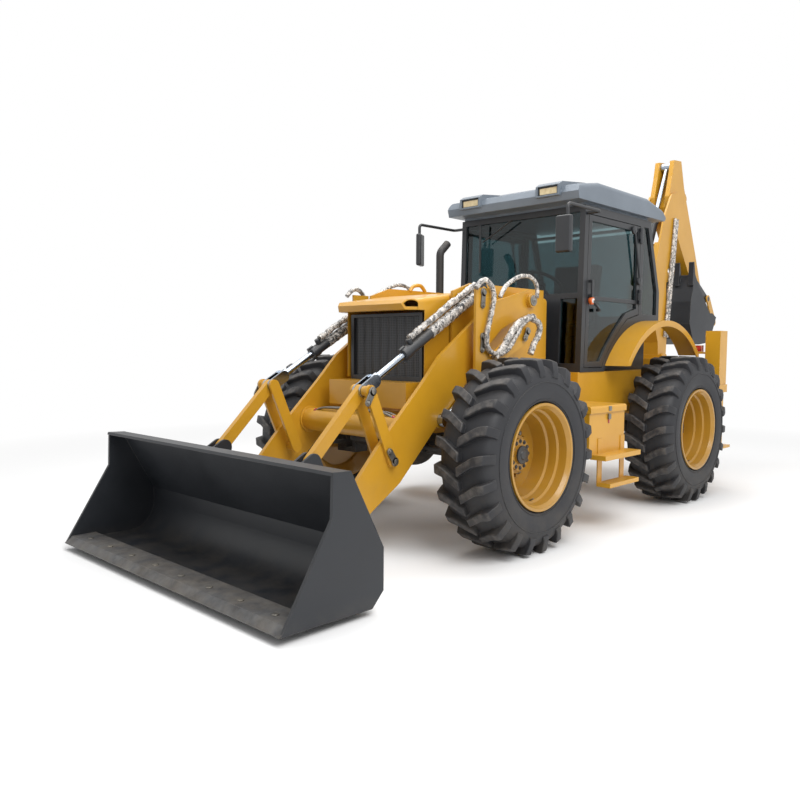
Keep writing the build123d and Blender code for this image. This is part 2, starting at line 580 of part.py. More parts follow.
def cab_frame():
    """Hollow cab: posts, sills and roof rails, cut for doors, screens and wheel arches."""
    inset = CAB_WALL
    inner = [(CAB_FRONT - inset, CAB_FLOOR + 12), (CAB_FRONT - 36 - inset, CAB_ROOF_Z - 30), (-2300 + inset, CAB_ROOF_Z - 30),
             (-2500 + inset, 1760 + 6), (-2500 + inset, CAB_FLOOR + 12)]
    shape = plate(CAB_SIDE, -CAB_HALF, CAB_HALF) - plate(inner, -CAB_HALF + inset, CAB_HALF - inset)
    for side in (-1, 1):
        shape -= plate(door_outline(0), side * (CAB_HALF - inset - 5), side * (CAB_HALF + 5))
        shape -= plate(quarter_outline(0), side * (CAB_HALF - inset - 5), side * (CAB_HALF + 5))
    half = CAB_HALF - 46
    shape -= block(CAB_FRONT - 100, CAB_FRONT + 20, -half, half, 1690, CAB_ROOF_Z - 46)
    for side in (-1, 1):
        shape -= block(CAB_FRONT - 100, CAB_FRONT + 20, side * (half - 150), side * half, 1150, 1650)
    shape -= block(-2560, -2260, -half, half, 1560, CAB_ROOF_Z - 60)
    shape -= block(CAB_FRONT - 70, -2430, -half + 4, half - 4, CAB_ROOF_Z - 40, CAB_ROOF_Z + 10)
    arch = pin(ARCH_AT, ARCH_R - 8, CAB_HALF - 130, CAB_HALF + 10)
    arch_skin = pin(ARCH_AT, ARCH_R + 8, CAB_HALF - 138, CAB_HALF) - pin(ARCH_AT, ARCH_R - 8, CAB_HALF - 130, CAB_HALF + 10)
    arch_skin &= plate(CAB_SIDE, CAB_HALF - 140, CAB_HALF)
    for cut, skin in zip(both(arch), both(arch_skin)):
        shape = shape - cut + skin
    x, y = DOOR_HINGE
    for z in HINGE_Z:
        for middle in (z - 45 - SEAT, z + 45 + SEAT):
            leaf = Pos(x, y, middle) * Cylinder(HINGE_R, 30)
            leaf += block(x - 44, x, CAB_HALF + SEAT, y, middle - 15, middle + 15)
            leaf += block(x - 44, x - 22, CAB_HALF - 4, y, middle - 15, middle + 15)
            for piece in both(leaf):
                shape += piece
    return shape


def door_outline(inset):
    """Side outline of a door, or of its opening."""
    i = inset
    return [(CAB_FRONT - 52 - i, CAB_FLOOR + 30 + i), (CAB_FRONT - 86 - i, CAB_ROOF_Z - 60 - i), (-2130 + i, CAB_ROOF_Z - 60 - i),
            (-2130 + i, 1550 + i), (-1925 + i * 0.5, 1505 + i), (-1785 + i * 0.7, 1398 + i * 0.7), (-1640 + i * 0.9, 1262 + i * 0.5),
            (-1545 + i, 1150 + i * 0.3), (-1540 + i, CAB_FLOOR + 30 + i)]


def quarter_outline(inset):
    """Side outline of a rear quarter window."""
    i = inset
    return [(-2185 - i, 1560 + i), (-2185 - i, CAB_ROOF_Z - 60 - i), (-2270 + i * 0.6, CAB_ROOF_Z - 60 - i),
            (-2450 + i * 1.2, 1770), (-2450 + i, 1560 + i)]


def door(side):
    """A door's frame: a ring of black section with a handle bar and a low sill panel."""
    ring_piece = plate(door_outline(DOOR_GAP), DOOR_Y[0], DOOR_Y[1])
    ring_piece -= plate(door_outline(DOOR_GAP + 44), DOOR_Y[0] - 5, DOOR_Y[1] + 5)
    bar_piece = block(-2082, CAB_FRONT - 96, DOOR_Y[0] + 4, DOOR_Y[1] - 4, 1640, 1672)
    shape = ring_piece + (bar_piece & plate(door_outline(DOOR_GAP + 4), *DOOR_Y))
    for z in HINGE_Z:
        shape += Pos(*DOOR_HINGE, z) * Cylinder(HINGE_R, 60)
        shape += block(DOOR_HINGE[0], -2088, CAB_HALF - 4, DOOR_HINGE[1], z - 30, z + 30)
    shape += block(-1330, -1300, CAB_HALF - 2, CAB_HALF + 34, 1660, 1790) - block(-1340, -1290, CAB_HALF, CAB_HALF + 22, 1680, 1770)
    return shape if side > 0 else mirror(shape, about=Plane.XZ)


def door_glass(side):
    """A door's panes, set in the frame's groove."""
    panes = plate(door_outline(DOOR_GAP + 44 + SEAT), CAB_HALF - 22, CAB_HALF - 16)
    panes -= block(-2300, -1200, CAB_HALF - 40, CAB_HALF, 1640 - SEAT, 1672 + SEAT)
    return panes if side > 0 else mirror(panes, about=Plane.XZ)


def cab_glass():
    """Windscreen, lower front panes, rear screen and quarter panes."""
    half = CAB_HALF - 46 - SEAT
    lean = degrees(atan2(36, CAB_ROOF_Z - CAB_FLOOR))
    pieces = []

    def front_pane(y0, y1, z0, z1):
        low = CAB_FRONT - 36 * (z0 - CAB_FLOOR) / (CAB_ROOF_Z - CAB_FLOOR) - 18
        high = CAB_FRONT - 36 * (z1 - CAB_FLOOR) / (CAB_ROOF_Z - CAB_FLOOR) - 18
        return plate([(low, z0), (high, z1), (high - 6, z1), (low - 6, z0)], y0, y1)

    pieces.append(front_pane(-half, half, 1690 + SEAT, CAB_ROOF_Z - 46 - SEAT))
    pieces += both(front_pane(half - 150 + 2 * SEAT, half, 1150 + SEAT, 1650 - SEAT))
    rear = plate([(-2476, 1560 + SEAT), (-2476, 1757), (-2304, 2266), (-2310, 2268), (-2482, 1758), (-2482, 1560 + SEAT)], -half, half)
    pieces.append(rear & block(-2560, -2260 - SEAT, -half, half, 1560 + SEAT, CAB_ROOF_Z - 60 - SEAT))
    pieces += both(plate(quarter_outline(SEAT), CAB_HALF - 22, CAB_HALF - 16))
    return pieces


LAMP_Y = 375
LAMP_BACK = -1120
POD_FRONT = -1052


def cab_roof():
    """Moulded roof: crowned middle, two long ribs, a drooping tail and a lamp pod at each front corner."""
    side = [(-1095, 2372), (-1078, 2430), (-1110, 2486), (-1400, 2536), (-2200, 2530), (-2440, 2480), (-2530, 2400),
            (-2500, 2372)]
    shape = plate(side, -CAB_HALF - 30, CAB_HALF + 30)
    edges = [e for e in shape.edges().filter_by(Axis.Y, reverse=True) if e.center().Z > 2480]
    shape = fillet(edges, 40)
    crown = [(-1160, 2480), (-1330, 2546), (-1500, 2566), (-2140, 2560), (-2330, 2520), (-2400, 2470)]
    shape += plate(crown, -250, 250)
    pod = [(POD_FRONT, 2412), (POD_FRONT - 6, 2496), (-1100, 2520), (-1420, 2556), (-1900, 2548), (-2120, 2520), (-2120, 2480),
           (-1100, 2412)]
    for piece in both(plate(pod, LAMP_Y - 105, LAMP_Y + 105)):
        shape += piece
    shape += block(-2288, CAB_FRONT - 42, -CAB_HALF + 20, CAB_HALF - 20, CAB_ROOF_Z + SEAT, 2380)
    for y in (-LAMP_Y, LAMP_Y):
        shape -= block(LAMP_BACK, POD_FRONT + 20, y - 88, y + 88, 2424, 2490)
    return shape


def lamps():
    """Work lamps in the roof's brow and tail lamps on the rear brackets."""
    pieces = [block(LAMP_BACK + SEAT, POD_FRONT - 18, y - 84, y + 84, 2424 + SEAT, 2486) for y in (-LAMP_Y, LAMP_Y)]
    for side in (-1, 1):
        pieces.append(block(-2995, -2940, side * 720, side * 810, 1240, 1300))
    return pieces


def operator_seat():
    """Seat on its pedestal."""
    shape = block(-2080, -1760, -150, 150, CAB_FLOOR + 12 + SEAT, 1360)
    shape += block(-2130, -1640, -240, 240, 1360, 1470)
    back = plate([(-2130, 1470), (-2210, 2010), (-2110, 2010), (-2010, 1470)], -225, 225)
    return shape + back


def controls():
    """Front console, leaning column and steering wheel."""
    shape = block(-1420, -1270, -180, 180, CAB_FLOOR + 12 + SEAT, 1560)
    top, foot = (-1560, 1790), (-1370, 1500)
    shape += rod(foot, top, 30, 0)
    wheel_plane = Plane(origin=(top[0], 0, top[1]), z_dir=(top[0] - foot[0], 0, top[1] - foot[1]))
    shape += wheel_plane * Torus(190, 14) + wheel_plane * Box(380, 26, 12) + wheel_plane * Cylinder(40, 30)
    return shape


def mudguards():
    """Arched guards beside the cab, each with a turned-down outer edge."""
    y0, y1 = CAB_HALF + SEAT, 792
    band = pin(ARCH_AT, ARCH_R + 6, y0, y1) - pin(ARCH_AT, ARCH_R - 2, y0 - 1, y1 + 1)
    band += pin(ARCH_AT, ARCH_R + 6, y1 - 8, y1) - pin(ARCH_AT, ARCH_R - 44, y1 - 9, y1 + 1)
    keep = block(ARCH_AT[0] - 640, ARCH_AT[0] + 720, y0 - 1, y1 + 1, CAB_FLOOR + 45, 1600)
    return both(band & keep)


def mirror_head(side):
    """One mirror on its bent arm; the right one is turned in towards the hood."""
    x, y, z = -800, 690, 2076
    head = Box(44, 124, 260)
    head = Pos(x, y, z) * Rot(0, 0, 0 if side > 0 else 62) * fillet(head.edges(), 14)
    arm = FilletPolyline((CAB_FRONT - 60, CAB_HALF + SEAT, 2290), (CAB_FRONT - 60, y + 20, 2290), (x - 12, y + 20, 2290),
                         (x - 12, y + 20, z), radius=30)
    shape = head + sweep(arm.location_at(0) * Circle(12), path=arm)
    return shape if side > 0 else mirror(shape, about=Plane.XZ)


def mirrors():
    """Mirror heads on bent arms from the cab's front posts."""
    return [mirror_head(1), mirror_head(-1)]


# ---------------------------------------------------------------- boxes beside the frame
BOX_OUT = 970
BOX_X = (-1215, -722)
BOX_Z = (532, 845)
LID_TOP = 868


def side_boxes():
    """Left toolbox with its steps, the battery box above it, and the right-hand tank."""
    hollow = block(BOX_X[0] + 4, BOX_X[1] - 4, 624, BOX_OUT - 4, BOX_Z[0] + 4, BOX_Z[1] + 5)
    shape = block(*BOX_X, 620, BOX_OUT, *BOX_Z) - hollow
    shape += block(BOX_X[0] + 60, BOX_X[1] - 60, RAIL_Y + RAIL_WIDTH / 2 + SEAT, 624, 800, 840)
    shape += block(BOX_X[0] + 60, BOX_X[1] - 60, RAIL_Y + RAIL_WIDTH / 2 + SEAT, 624, 800, 806)
    tread = block(-1268, -760, 958, 1078, 500, 534) - block(-1262, -766, 964, 1072, 506, 528)
    low = block(-1250, -830, 975, 1078, 304, 334) - block(-1244, -836, 981, 1072, 310, 328)
    straps = block(-1215, -1155, BOX_OUT - 2, BOX_OUT + 6, 306, 640) + block(-895, -835, BOX_OUT - 2, BOX_OUT + 6, 306, 640)
    steps = tread + low + straps
    shape += lid_hinge("box")
    battery = block(-1130, -770, TOWER_IN[1] + SEAT, 616, 880, 992)
    tank = block(*BOX_X, -BOX_OUT, -620, *BOX_Z)
    tank = fillet(tank.edges().filter_by(Axis.X), 60)
    tank += block(BOX_X[0] + 60, BOX_X[1] - 60, -624, -RAIL_Y - RAIL_WIDTH / 2 - SEAT, 800, 840)
    right_steps = mirror(steps, about=Plane.XZ)
    return [shape + steps, battery, tank + right_steps]


LID_HINGE_Y = 618
LID_HINGE_R = 7
# along the box: where each hinge barrel starts and ends; the lid's lie between the box's
LID_BARRELS = ((-1160, -1100), (-860, -800))


def lid_hinge(knuckle):
    """Barrels of the lid's hinges: the lid's own in the middle, or the box's at both ends."""
    shape = None
    for start, end in LID_BARRELS:
        third = (end - start) / 3
        spans = [(start + third + 0.5, end - third - 0.5)] if knuckle == "lid" else [(start, start + third), (end - third, end)]
        for x0, x1 in spans:
            piece = Pos((x0 + x1) / 2, LID_HINGE_Y, LID_TOP) * Rot(0, 90, 0) * Cylinder(LID_HINGE_R, x1 - x0)
            shape = piece if shape is None else shape + piece
            if knuckle != "lid":
                shape += block(x0, x1, LID_HINGE_Y - LID_HINGE_R, LID_HINGE_Y - 3, BOX_Z[1] - 30, LID_TOP)
                shape += block(x0, x1, LID_HINGE_Y - LID_HINGE_R, 621, BOX_Z[1] - 30, BOX_Z[1] - 24)
    return shape


def toolbox_lid():
    """Folded lid with a rolled outer edge that laps over the toolbox, hinged on its inner edge."""
    x0, x1 = BOX_X[0] - 8, BOX_X[1] + 3
    shape = block(x0, x1, 626, BOX_OUT + 12, BOX_Z[1] - 26, LID_TOP)
    shape = fillet(shape.edges().filter_by(Axis.X).sort_by(Axis.Z)[-2:], 18)
    shape -= block(BOX_X[0] - 5, BOX_X[1] + 0.5, 618, BOX_OUT + 8, BOX_Z[1] - 40, BOX_Z[1] + SEAT + 3)
    for start, end in LID_BARRELS:
        third = (end - start) / 3
        shape += block(start + third + 0.5, end - third - 0.5, LID_HINGE_Y, 650, LID_TOP - 5, LID_TOP)
    return shape + lid_hinge("lid")


# ---------------------------------------------------------------- backhoe
RAIL_UP = (1100, 1170)
RAIL_DOWN = (640, 710)
CARRIAGE_HALF = 300


def rear_frame():
    """Slide frame with two rails, welded between the stabilisers' square tubes."""
    inner = LEG_Y - LEG_HALF_Y
    web = (LEG_FRONT - 28, LEG_FRONT - 68)
    shape = block(*web, -inner - 1, inner + 1, RAIL_DOWN[0], RAIL_UP[1])
    for low, high in (RAIL_UP, RAIL_DOWN):
        shape += block(FRAME_REAR, web[0], -inner - 1, inner + 1, low, high)
    for piece in both(block(web[0] + 10, web[1] - 10, RAIL_Y + 110, inner - 80, RAIL_DOWN[1] + 40, RAIL_UP[0] - 40)):
        shape -= piece
    for side in (-1, 1):
        tube = block(LEG_REAR, LEG_FRONT, side * inner, side * (LEG_Y + LEG_HALF_Y), SLEEVE_LOW, LEG_TOP)
        tube -= block(LEG_REAR + 12, LEG_FRONT - 12, side * (inner + 12), side * (LEG_Y + LEG_HALF_Y - 12),
                      SLEEVE_LOW - 1, LEG_TOP - 10)
        collar = block(LEG_REAR - 9, LEG_FRONT + 9, side * inner, side * (LEG_Y + LEG_HALF_Y + 9), SLEEVE_LOW, SLEEVE_LOW + 70)
        collar -= block(LEG_REAR + 4, LEG_FRONT - 4, side * (inner + 4), side * (LEG_Y + LEG_HALF_Y - 4), SLEEVE_LOW - 1, SLEEVE_LOW + 71)
        shape += tube + collar
        shape += block(web[1] - 30, -2640 - SEAT, side * (RAIL_Y - 30), side * (RAIL_Y + 70), RAIL_LOW + 20, RAIL_HIGH)
        shape += block(-2998, -2938, side * 690, side * 860, 1223, 1239.5)
    return shape


def stabiliser_leg(side):
    """Inner leg and foot of one stabiliser."""
    clear = 12 + SEAT
    shape = block(LEG_REAR + clear, LEG_FRONT - clear, side * (LEG_Y - LEG_HALF_Y + clear), side * (LEG_Y + LEG_HALF_Y - clear),
                  FOOT_Z + 20, LEG_TOP - 60)
    shape += block(LEG_REAR - 30, LEG_FRONT + 12, side * (LEG_Y - 110), side * (LEG_Y + 110), FOOT_Z, FOOT_Z + 24)
    return shape


LUG_LOW = (700, 735)
LUG_HIGH = (990, 1030)
POST_PIN_R = 35
SWING_ROD_X = SWING_X + 100
SWING_ROD_Z = 652
SWING_BARREL_R = 36


def slide_carriage():
    """Carriage hooked on the rails, with the two lugs that hold the swing post."""
    front, back = FRAME_REAR - SEAT, FRAME_REAR - 46
    y0, y1 = HOE_Y - CARRIAGE_HALF, HOE_Y + CARRIAGE_HALF
    shape = block(back, front, y0, y1, RAIL_DOWN[0] - 40, RAIL_UP[1] + 40)
    for low, high in ((RAIL_UP[1] + SEAT, RAIL_UP[1] + 40), (RAIL_DOWN[0] - 40, RAIL_DOWN[0] - SEAT)):
        shape += block(front - 1, FRAME_REAR + 50, y0, y1, low, high)
    for low, high in (LUG_LOW, LUG_HIGH):
        lug_plate = block(SWING_X, back + 1, HOE_Y - 80, HOE_Y + 80, low, high)
        lug_plate += Pos(SWING_X, HOE_Y, (low + high) / 2) * Cylinder(80, high - low)
        shape += lug_plate - Pos(SWING_X, HOE_Y, (low + high) / 2) * Cylinder(POST_PIN_R + PIN_GAP, 80)
    for side in (-1, 1):
        y = HOE_Y + side * 250
        holder = block(SWING_ROD_X - 44, back + 1, y - 20, y + 20, SWING_ROD_Z - 40, SWING_ROD_Z + 44)
        shape += holder - pin((SWING_ROD_X, SWING_ROD_Z), SWING_BARREL_R + SEAT, y - 25, y + 25)
    return shape


def swing_barrels():
    """The two swing cylinders' barrels, held in the carriage's blocks."""
    pieces = []
    for side in (-1, 1):
        y0, y1 = HOE_Y + side * 190, HOE_Y + side * 430
        at = (SWING_ROD_X, SWING_ROD_Z)
        pieces.append(pin(at, SWING_BARREL_R, y0, y1) - pin(at, 18 + PIN_GAP, y0 - side, y1 - side * 20))
    return pieces


def swing_rod(side):
    """A swing cylinder's rod with an eye above or below the post's crank."""
    at = (SWING_ROD_X, SWING_ROD_Z)
    shape = pin(at, 18, HOE_Y + side * 60, HOE_Y + side * 300)
    low, high = (SWING_ROD_Z + 11, SWING_ROD_Z + 27) if side > 0 else (SWING_ROD_Z - 27, SWING_ROD_Z - 11)
    shape += Pos(SWING_ROD_X, HOE_Y, (low + high) / 2) * Cylinder(34, high - low)
    return shape + block(SWING_ROD_X - 20, SWING_ROD_X + 20, HOE_Y + side * 20, HOE_Y + side * 76, low, high)


FOOT_HALF = BOOM_HALF - HOE_PLATE - SIDE_GAP


def kingpost():
    """Swing post: pinned in the lugs, forked for the boom's foot, cranked for the swing rods."""
    low, high = LUG_LOW[1] + SIDE_GAP, LUG_HIGH[0] - SIDE_GAP
    shape = Pos(SWING_X, HOE_Y, (low + high) / 2) * Cylinder(72, high - low)
    shape += Pos(SWING_X, HOE_Y, (630 + 1036) / 2) * Cylinder(POST_PIN_R, 1036 - 630)
    foot, base = BOOM_FOOT, BOOM_CYL_BASE
    cheek = [(SWING_X, low + 8), (SWING_X, high - 8), (SWING_X - 88, high - 4), (SWING_X - 88, 1050),
             (foot[0] + 70, 1062), (foot[0] + 72, foot[1] + 30), (foot[0] + 25, foot[1] + 74),
             (foot[0] - 45, foot[1] + 66), (foot[0] - 84, foot[1] - 20), (base[0] - 58, base[1] + 30),
             (base[0] - 50, base[1] - 44), (base[0], base[1] - 62)]
    inner = BOOM_HALF + SIDE_GAP
    for side in (-1, 1):
        shape += plate(cheek, HOE_Y + side * inner, HOE_Y + side * (inner + 24))
    shape += block(SWING_X - 66, SWING_X, HOE_Y - inner - 1, HOE_Y + inner + 1, low, high)
    shape += pin(foot, 35, HOE_Y - inner - 24, HOE_Y + inner + 24)
    shape += pin(base, 30, HOE_Y - inner - 24, HOE_Y + inner + 24)
    crank = block(SWING_X, SWING_ROD_X, HOE_Y - 32, HOE_Y + 32, SWING_ROD_Z - 10, SWING_ROD_Z + 10)
    crank += Pos(SWING_ROD_X, HOE_Y, SWING_ROD_Z) * Cylinder(32, 20)
    return shape + crank


def boom_outline():
    """Side outline of the boom, from its foot up the cab side and down the back."""
    return [(BOOM_FOOT[0] + 84, BOOM_FOOT[1] - 10), (BOOM_FOOT[0] + 100, 1330), (-3175, 1608), (-3150, 1864), (-3216, 2099),
            (-3298, 2355), (-3370, 2570), (BOOM_HEAD[0] + 100, BOOM_HEAD[1] + 60),
            (BOOM_HEAD[0] - 40, BOOM_HEAD[1] + 92), (BOOM_HEAD[0] - 84, BOOM_HEAD[1] - 100), (-3595, 2376), (-3493, 2120),
            (-3452, 1915), (-3464, 1761), (-3498, 1505), (BOOM_FOOT[0] - 83, BOOM_FOOT[1] - 10)]


def boom():
    """Bowed box boom with a forked head, lugs for its cylinders and pins in the head and foot."""
    outer = plate(boom_outline(), HOE_Y - BOOM_HALF, HOE_Y + BOOM_HALF)
    outer += pin(BOOM_FOOT, 85, HOE_Y - BOOM_HALF, HOE_Y + BOOM_HALF)
    hollow = [(-3431, 1331), (-3319, 1362), (-3250, 1649), (-3250, 1864), (-3320, 2099), (-3370, 2222), (-3503, 2202),
              (-3433, 1915), (-3446, 1761), (-3472, 1505)]
    shape = outer - plate(hollow, HOE_Y - BOOM_HALF + HOE_PLATE, HOE_Y + BOOM_HALF - HOE_PLATE)
    slot = [(-3288, 2314), (-3616, 2314), (-3821, 2591), (-3821, 2939), (-3268, 2939), (-3165, 2314)]
    shape -= plate(slot, HOE_Y - DIPPER_HALF - SIDE_GAP - 1, HOE_Y + DIPPER_HALF + SIDE_GAP + 1)
    trough = [(DIPPER_CYL_BASE[0], 1500), (DIPPER_CYL_BASE[0], 1760), (-3165, 2325), (-3385, 2427), (-3257, 2099), (-3196, 1864), (-3216, 1608), (-3268, 1505)]
    shape -= plate(trough, HOE_Y - 66, HOE_Y + 66)
    shape -= bar(DIPPER_CYL_BASE, along(DIPPER_CYL_BASE, DIPPER_CYL_LUG, 1000), 62, HOE_Y - 66, HOE_Y + 66)
    shape -= pin(BOOM_FOOT, 35 + PIN_GAP, HOE_Y - 200, HOE_Y + 200)
    for side in (-1, 1):
        y0, y1 = HOE_Y + side * 46, HOE_Y + side * 64
        lug_front = plate([(-3227, 1567), (DIPPER_CYL_BASE[0] + 20, DIPPER_CYL_BASE[1] - 45), (DIPPER_CYL_BASE[0] + 30, DIPPER_CYL_BASE[1] + 40), (-3216, 1874)], y0, y1)
        lug_front += pin(DIPPER_CYL_BASE, 52, y0, y1)
        y0, y1 = HOE_Y + side * 53, HOE_Y + side * 71
        lug_back = plate([(-3431, 1833), (BOOM_CYL_LUG[0] + 6, BOOM_CYL_LUG[1] - 50),
                          (BOOM_CYL_LUG[0] + 6, BOOM_CYL_LUG[1] + 50), (-3472, 2140)], y0, y1)
        lug_back += pin(BOOM_CYL_LUG, 50, y0, y1)
        shape += lug_front + lug_back
    shape += pin(DIPPER_CYL_BASE, 26, HOE_Y - 64, HOE_Y + 64)
    shape += pin(BOOM_HEAD, 36, HOE_Y - BOOM_HALF, HOE_Y + BOOM_HALF)
    return shape


DIPPER_LINE = heading(DIPPER_END, BOOM_HEAD)
LEVER_PIVOT = polar(DIPPER_END, LEVER_UP, DIPPER_LINE)
LEVER_TIP = polar(LEVER_PIVOT, LEVER_LONG, LEVER_ANGLE)
BUCKET_EAR = polar(DIPPER_END, LEVER_LONG, LEVER_ANGLE)
BUCKET_CYL_BASE = (-3958, 2834)


def dipper():
    """Tapered box dipper: wide head above the boom's pin, narrow foot in the bucket's ears."""
    outline = [(-3600, 3162), (-3764, 3177), (-3849, 2919), (-4036, 2550), (-4199, 2222), (-4322, 1961), (DIPPER_END[0] - 62, DIPPER_END[1] + 30),
               (DIPPER_END[0] - 10, DIPPER_END[1] - 62), (DIPPER_END[0] + 66, DIPPER_END[1] + 10), (-4066, 2002), (-3923, 2171), (-3534, 2642), (-3508, 2796), (-3565, 3001)]
    shape = plate(outline, HOE_Y - DIPPER_HALF, HOE_Y + DIPPER_HALF)
    shape += pin(DIPPER_END, 64, HOE_Y - DIPPER_HALF, HOE_Y + DIPPER_HALF)
    hollow = [(-3841, 2837), (-4015, 2529), (-4179, 2212), (-4046, 2058), (-3902, 2212), (-3698, 2458)]
    shape -= plate(hollow, HOE_Y - DIPPER_HALF + 14, HOE_Y + DIPPER_HALF - 14)
    slot = [(-3420, 2560), (-3420, 3260), (-3723, 3260), (-3723, 3001), (-3590, 2862), (-3538, 2760), (-3500, 2560)]
    shape -= plate(slot, HOE_Y - 54, HOE_Y + 54)
    shape -= pin(BOOM_HEAD, 36 + PIN_GAP, HOE_Y - 200, HOE_Y + 200)
    shape -= pin(DIPPER_END, 32 + PIN_GAP, HOE_Y - 200, HOE_Y + 200)
    shape -= pin(LEVER_PIVOT, 26 + PIN_GAP, HOE_Y - 200, HOE_Y + 200)
    for side in (-1, 1):
        lug_plate = plate([(-3821, 2939), (BUCKET_CYL_BASE[0] - 20, BUCKET_CYL_BASE[1] + 45), (BUCKET_CYL_BASE[0] - 40, BUCKET_CYL_BASE[1] - 40), (-3943, 2693)],
                          HOE_Y + side * 44, HOE_Y + side * 62)
        shape += lug_plate + pin(BUCKET_CYL_BASE, 46, HOE_Y + side * 44, HOE_Y + side * 62)
    return shape + pin(BUCKET_CYL_BASE, 24, HOE_Y - 62, HOE_Y + 62)


LEVER_HALF = (DIPPER_HALF + 4, DIPPER_HALF + 18)
EAR_HALF = (DIPPER_HALF + 4, DIPPER_HALF + 22)
HOE_LINK_HALF = (DIPPER_HALF + 26, DIPPER_HALF + 40)


def bucket_lever():
    """Pair of levers on the dipper, with stubs that meet the bucket cylinder's eye."""
    shape = pin(LEVER_PIVOT, 26, HOE_Y - LEVER_HALF[1], HOE_Y + LEVER_HALF[1])
    for side in (-1, 1):
        shape += bar(LEVER_PIVOT, LEVER_TIP, 38, HOE_Y + side * LEVER_HALF[0], HOE_Y + side * LEVER_HALF[1])
        shape += pin(LEVER_TIP, 26, HOE_Y + side * 32, HOE_Y + side * HOE_LINK_HALF[1])
    return shape


def bucket_link():
    """Pair of links from the levers to the bucket's ears."""
    pieces = []
    for side in (-1, 1):
        y0, y1 = HOE_Y + side * HOE_LINK_HALF[0], HOE_Y + side * HOE_LINK_HALF[1]
        link = bar(LEVER_TIP, BUCKET_EAR, 40, y0, y1)
        for at, radius in ((LEVER_TIP, 26 + PIN_GAP), (BUCKET_EAR, 26 + 1.5)):
            link -= pin(at, radius, HOE_Y - 200, HOE_Y + 200)
        pieces.append(link)
    return pieces


def backhoe_bucket():
    """Curled digging bucket: rolled sheet, side plates, four teeth on a lip, and ears."""
    half = HOE_BUCKET_WIDTH / 2
    lip, tip = (-3841, 2028), (-3798, 2156)
    outer = [lip, (-3754, 1751), (-3739, 1526), (-3821, 1372), (-3984, 1313), (-4179, 1331), (-4322, 1454), (-4414, 1608), (-4312, 1649), (-4230, 1608), (-4148, 1649)]
    inner = [(-3856, 2030), (-3769, 1751), (-3755, 1531), (-3831, 1385), (-3986, 1328), (-4173, 1347), (-4307, 1459), (-4292, 1608),
             (-4230, 1649), (-4087, 1813)]
    side_plate = [lip, (-3754, 1751), (-3739, 1526), (-3821, 1372), (-3984, 1313), (-4179, 1331), (-4322, 1454), (-4394, 1567), (-4240, 1649), (-3943, 1915)]
    shape = plate(outer, HOE_Y - half, HOE_Y + half) - plate(inner, HOE_Y - half - 1, HOE_Y + half + 1)
    for side in (-1, 1):
        shape += plate(side_plate, HOE_Y + side * (half - 12), HOE_Y + side * half)
    for count in range(4):
        y = HOE_Y + (count - 1.5) * 150
        shape += plate([(-3857, 1956), (tip[0] - 8, tip[1]), (tip[0] + 4, tip[1] - 6), (-3786, 1915)], y - 26, y + 26)
    ear_plate = [(DIPPER_END[0] - 10, DIPPER_END[1] + 62), (DIPPER_END[0] + 70, DIPPER_END[1]), (-4251, 1608), (-4199, 1347), (-4317, 1465), (BUCKET_EAR[0] + 20, BUCKET_EAR[1] - 46),
                 (BUCKET_EAR[0] - 46, BUCKET_EAR[1] + 10)]
    for side in (-1, 1):
        y0, y1 = HOE_Y + side * EAR_HALF[0], HOE_Y + side * EAR_HALF[1]
        shape += plate(ear_plate, y0, y1) + pin(DIPPER_END, 62, y0, y1) + pin(BUCKET_EAR, 48, y0, y1)
        shape += pin(BUCKET_EAR, 26, y0, HOE_Y + side * HOE_LINK_HALF[1])
    return shape + pin(DIPPER_END, 32, HOE_Y - EAR_HALF[1], HOE_Y + EAR_HALF[1])


# name: base pin, rod's eye, barrel radius, barrel's end, rod radius, rod's inner end, eye half width
HOE_CYLINDERS = {
    "boom": (BOOM_CYL_BASE, BOOM_CYL_LUG, 44, 610, 26, 565, 50, 30),
    "dipper": (DIPPER_CYL_BASE, DIPPER_CYL_LUG, 42, 960, 25, 660, 52, 26),
    "bucket": (BUCKET_CYL_BASE, LEVER_TIP, 38, 600, 22, 560, 30, 24),
}


def hoe_barrel(name):
    base, eye, radius, end, rod_r, _, _, bore_pin = HOE_CYLINDERS[name]
    width = 84
    return barrel_of(base, eye, HOE_Y, radius, 40, end, rod_r, radius + 8, width, bore_pin)


def hoe_rod(name):
    base, eye, _, _, rod_r, inner_end, half, _ = HOE_CYLINDERS[name]
    shape = rod(along(base, eye, inner_end), along(base, eye, gap(base, eye) - 20), rod_r, HOE_Y)
    return shape + pin(eye, 42, HOE_Y - half, HOE_Y + half)


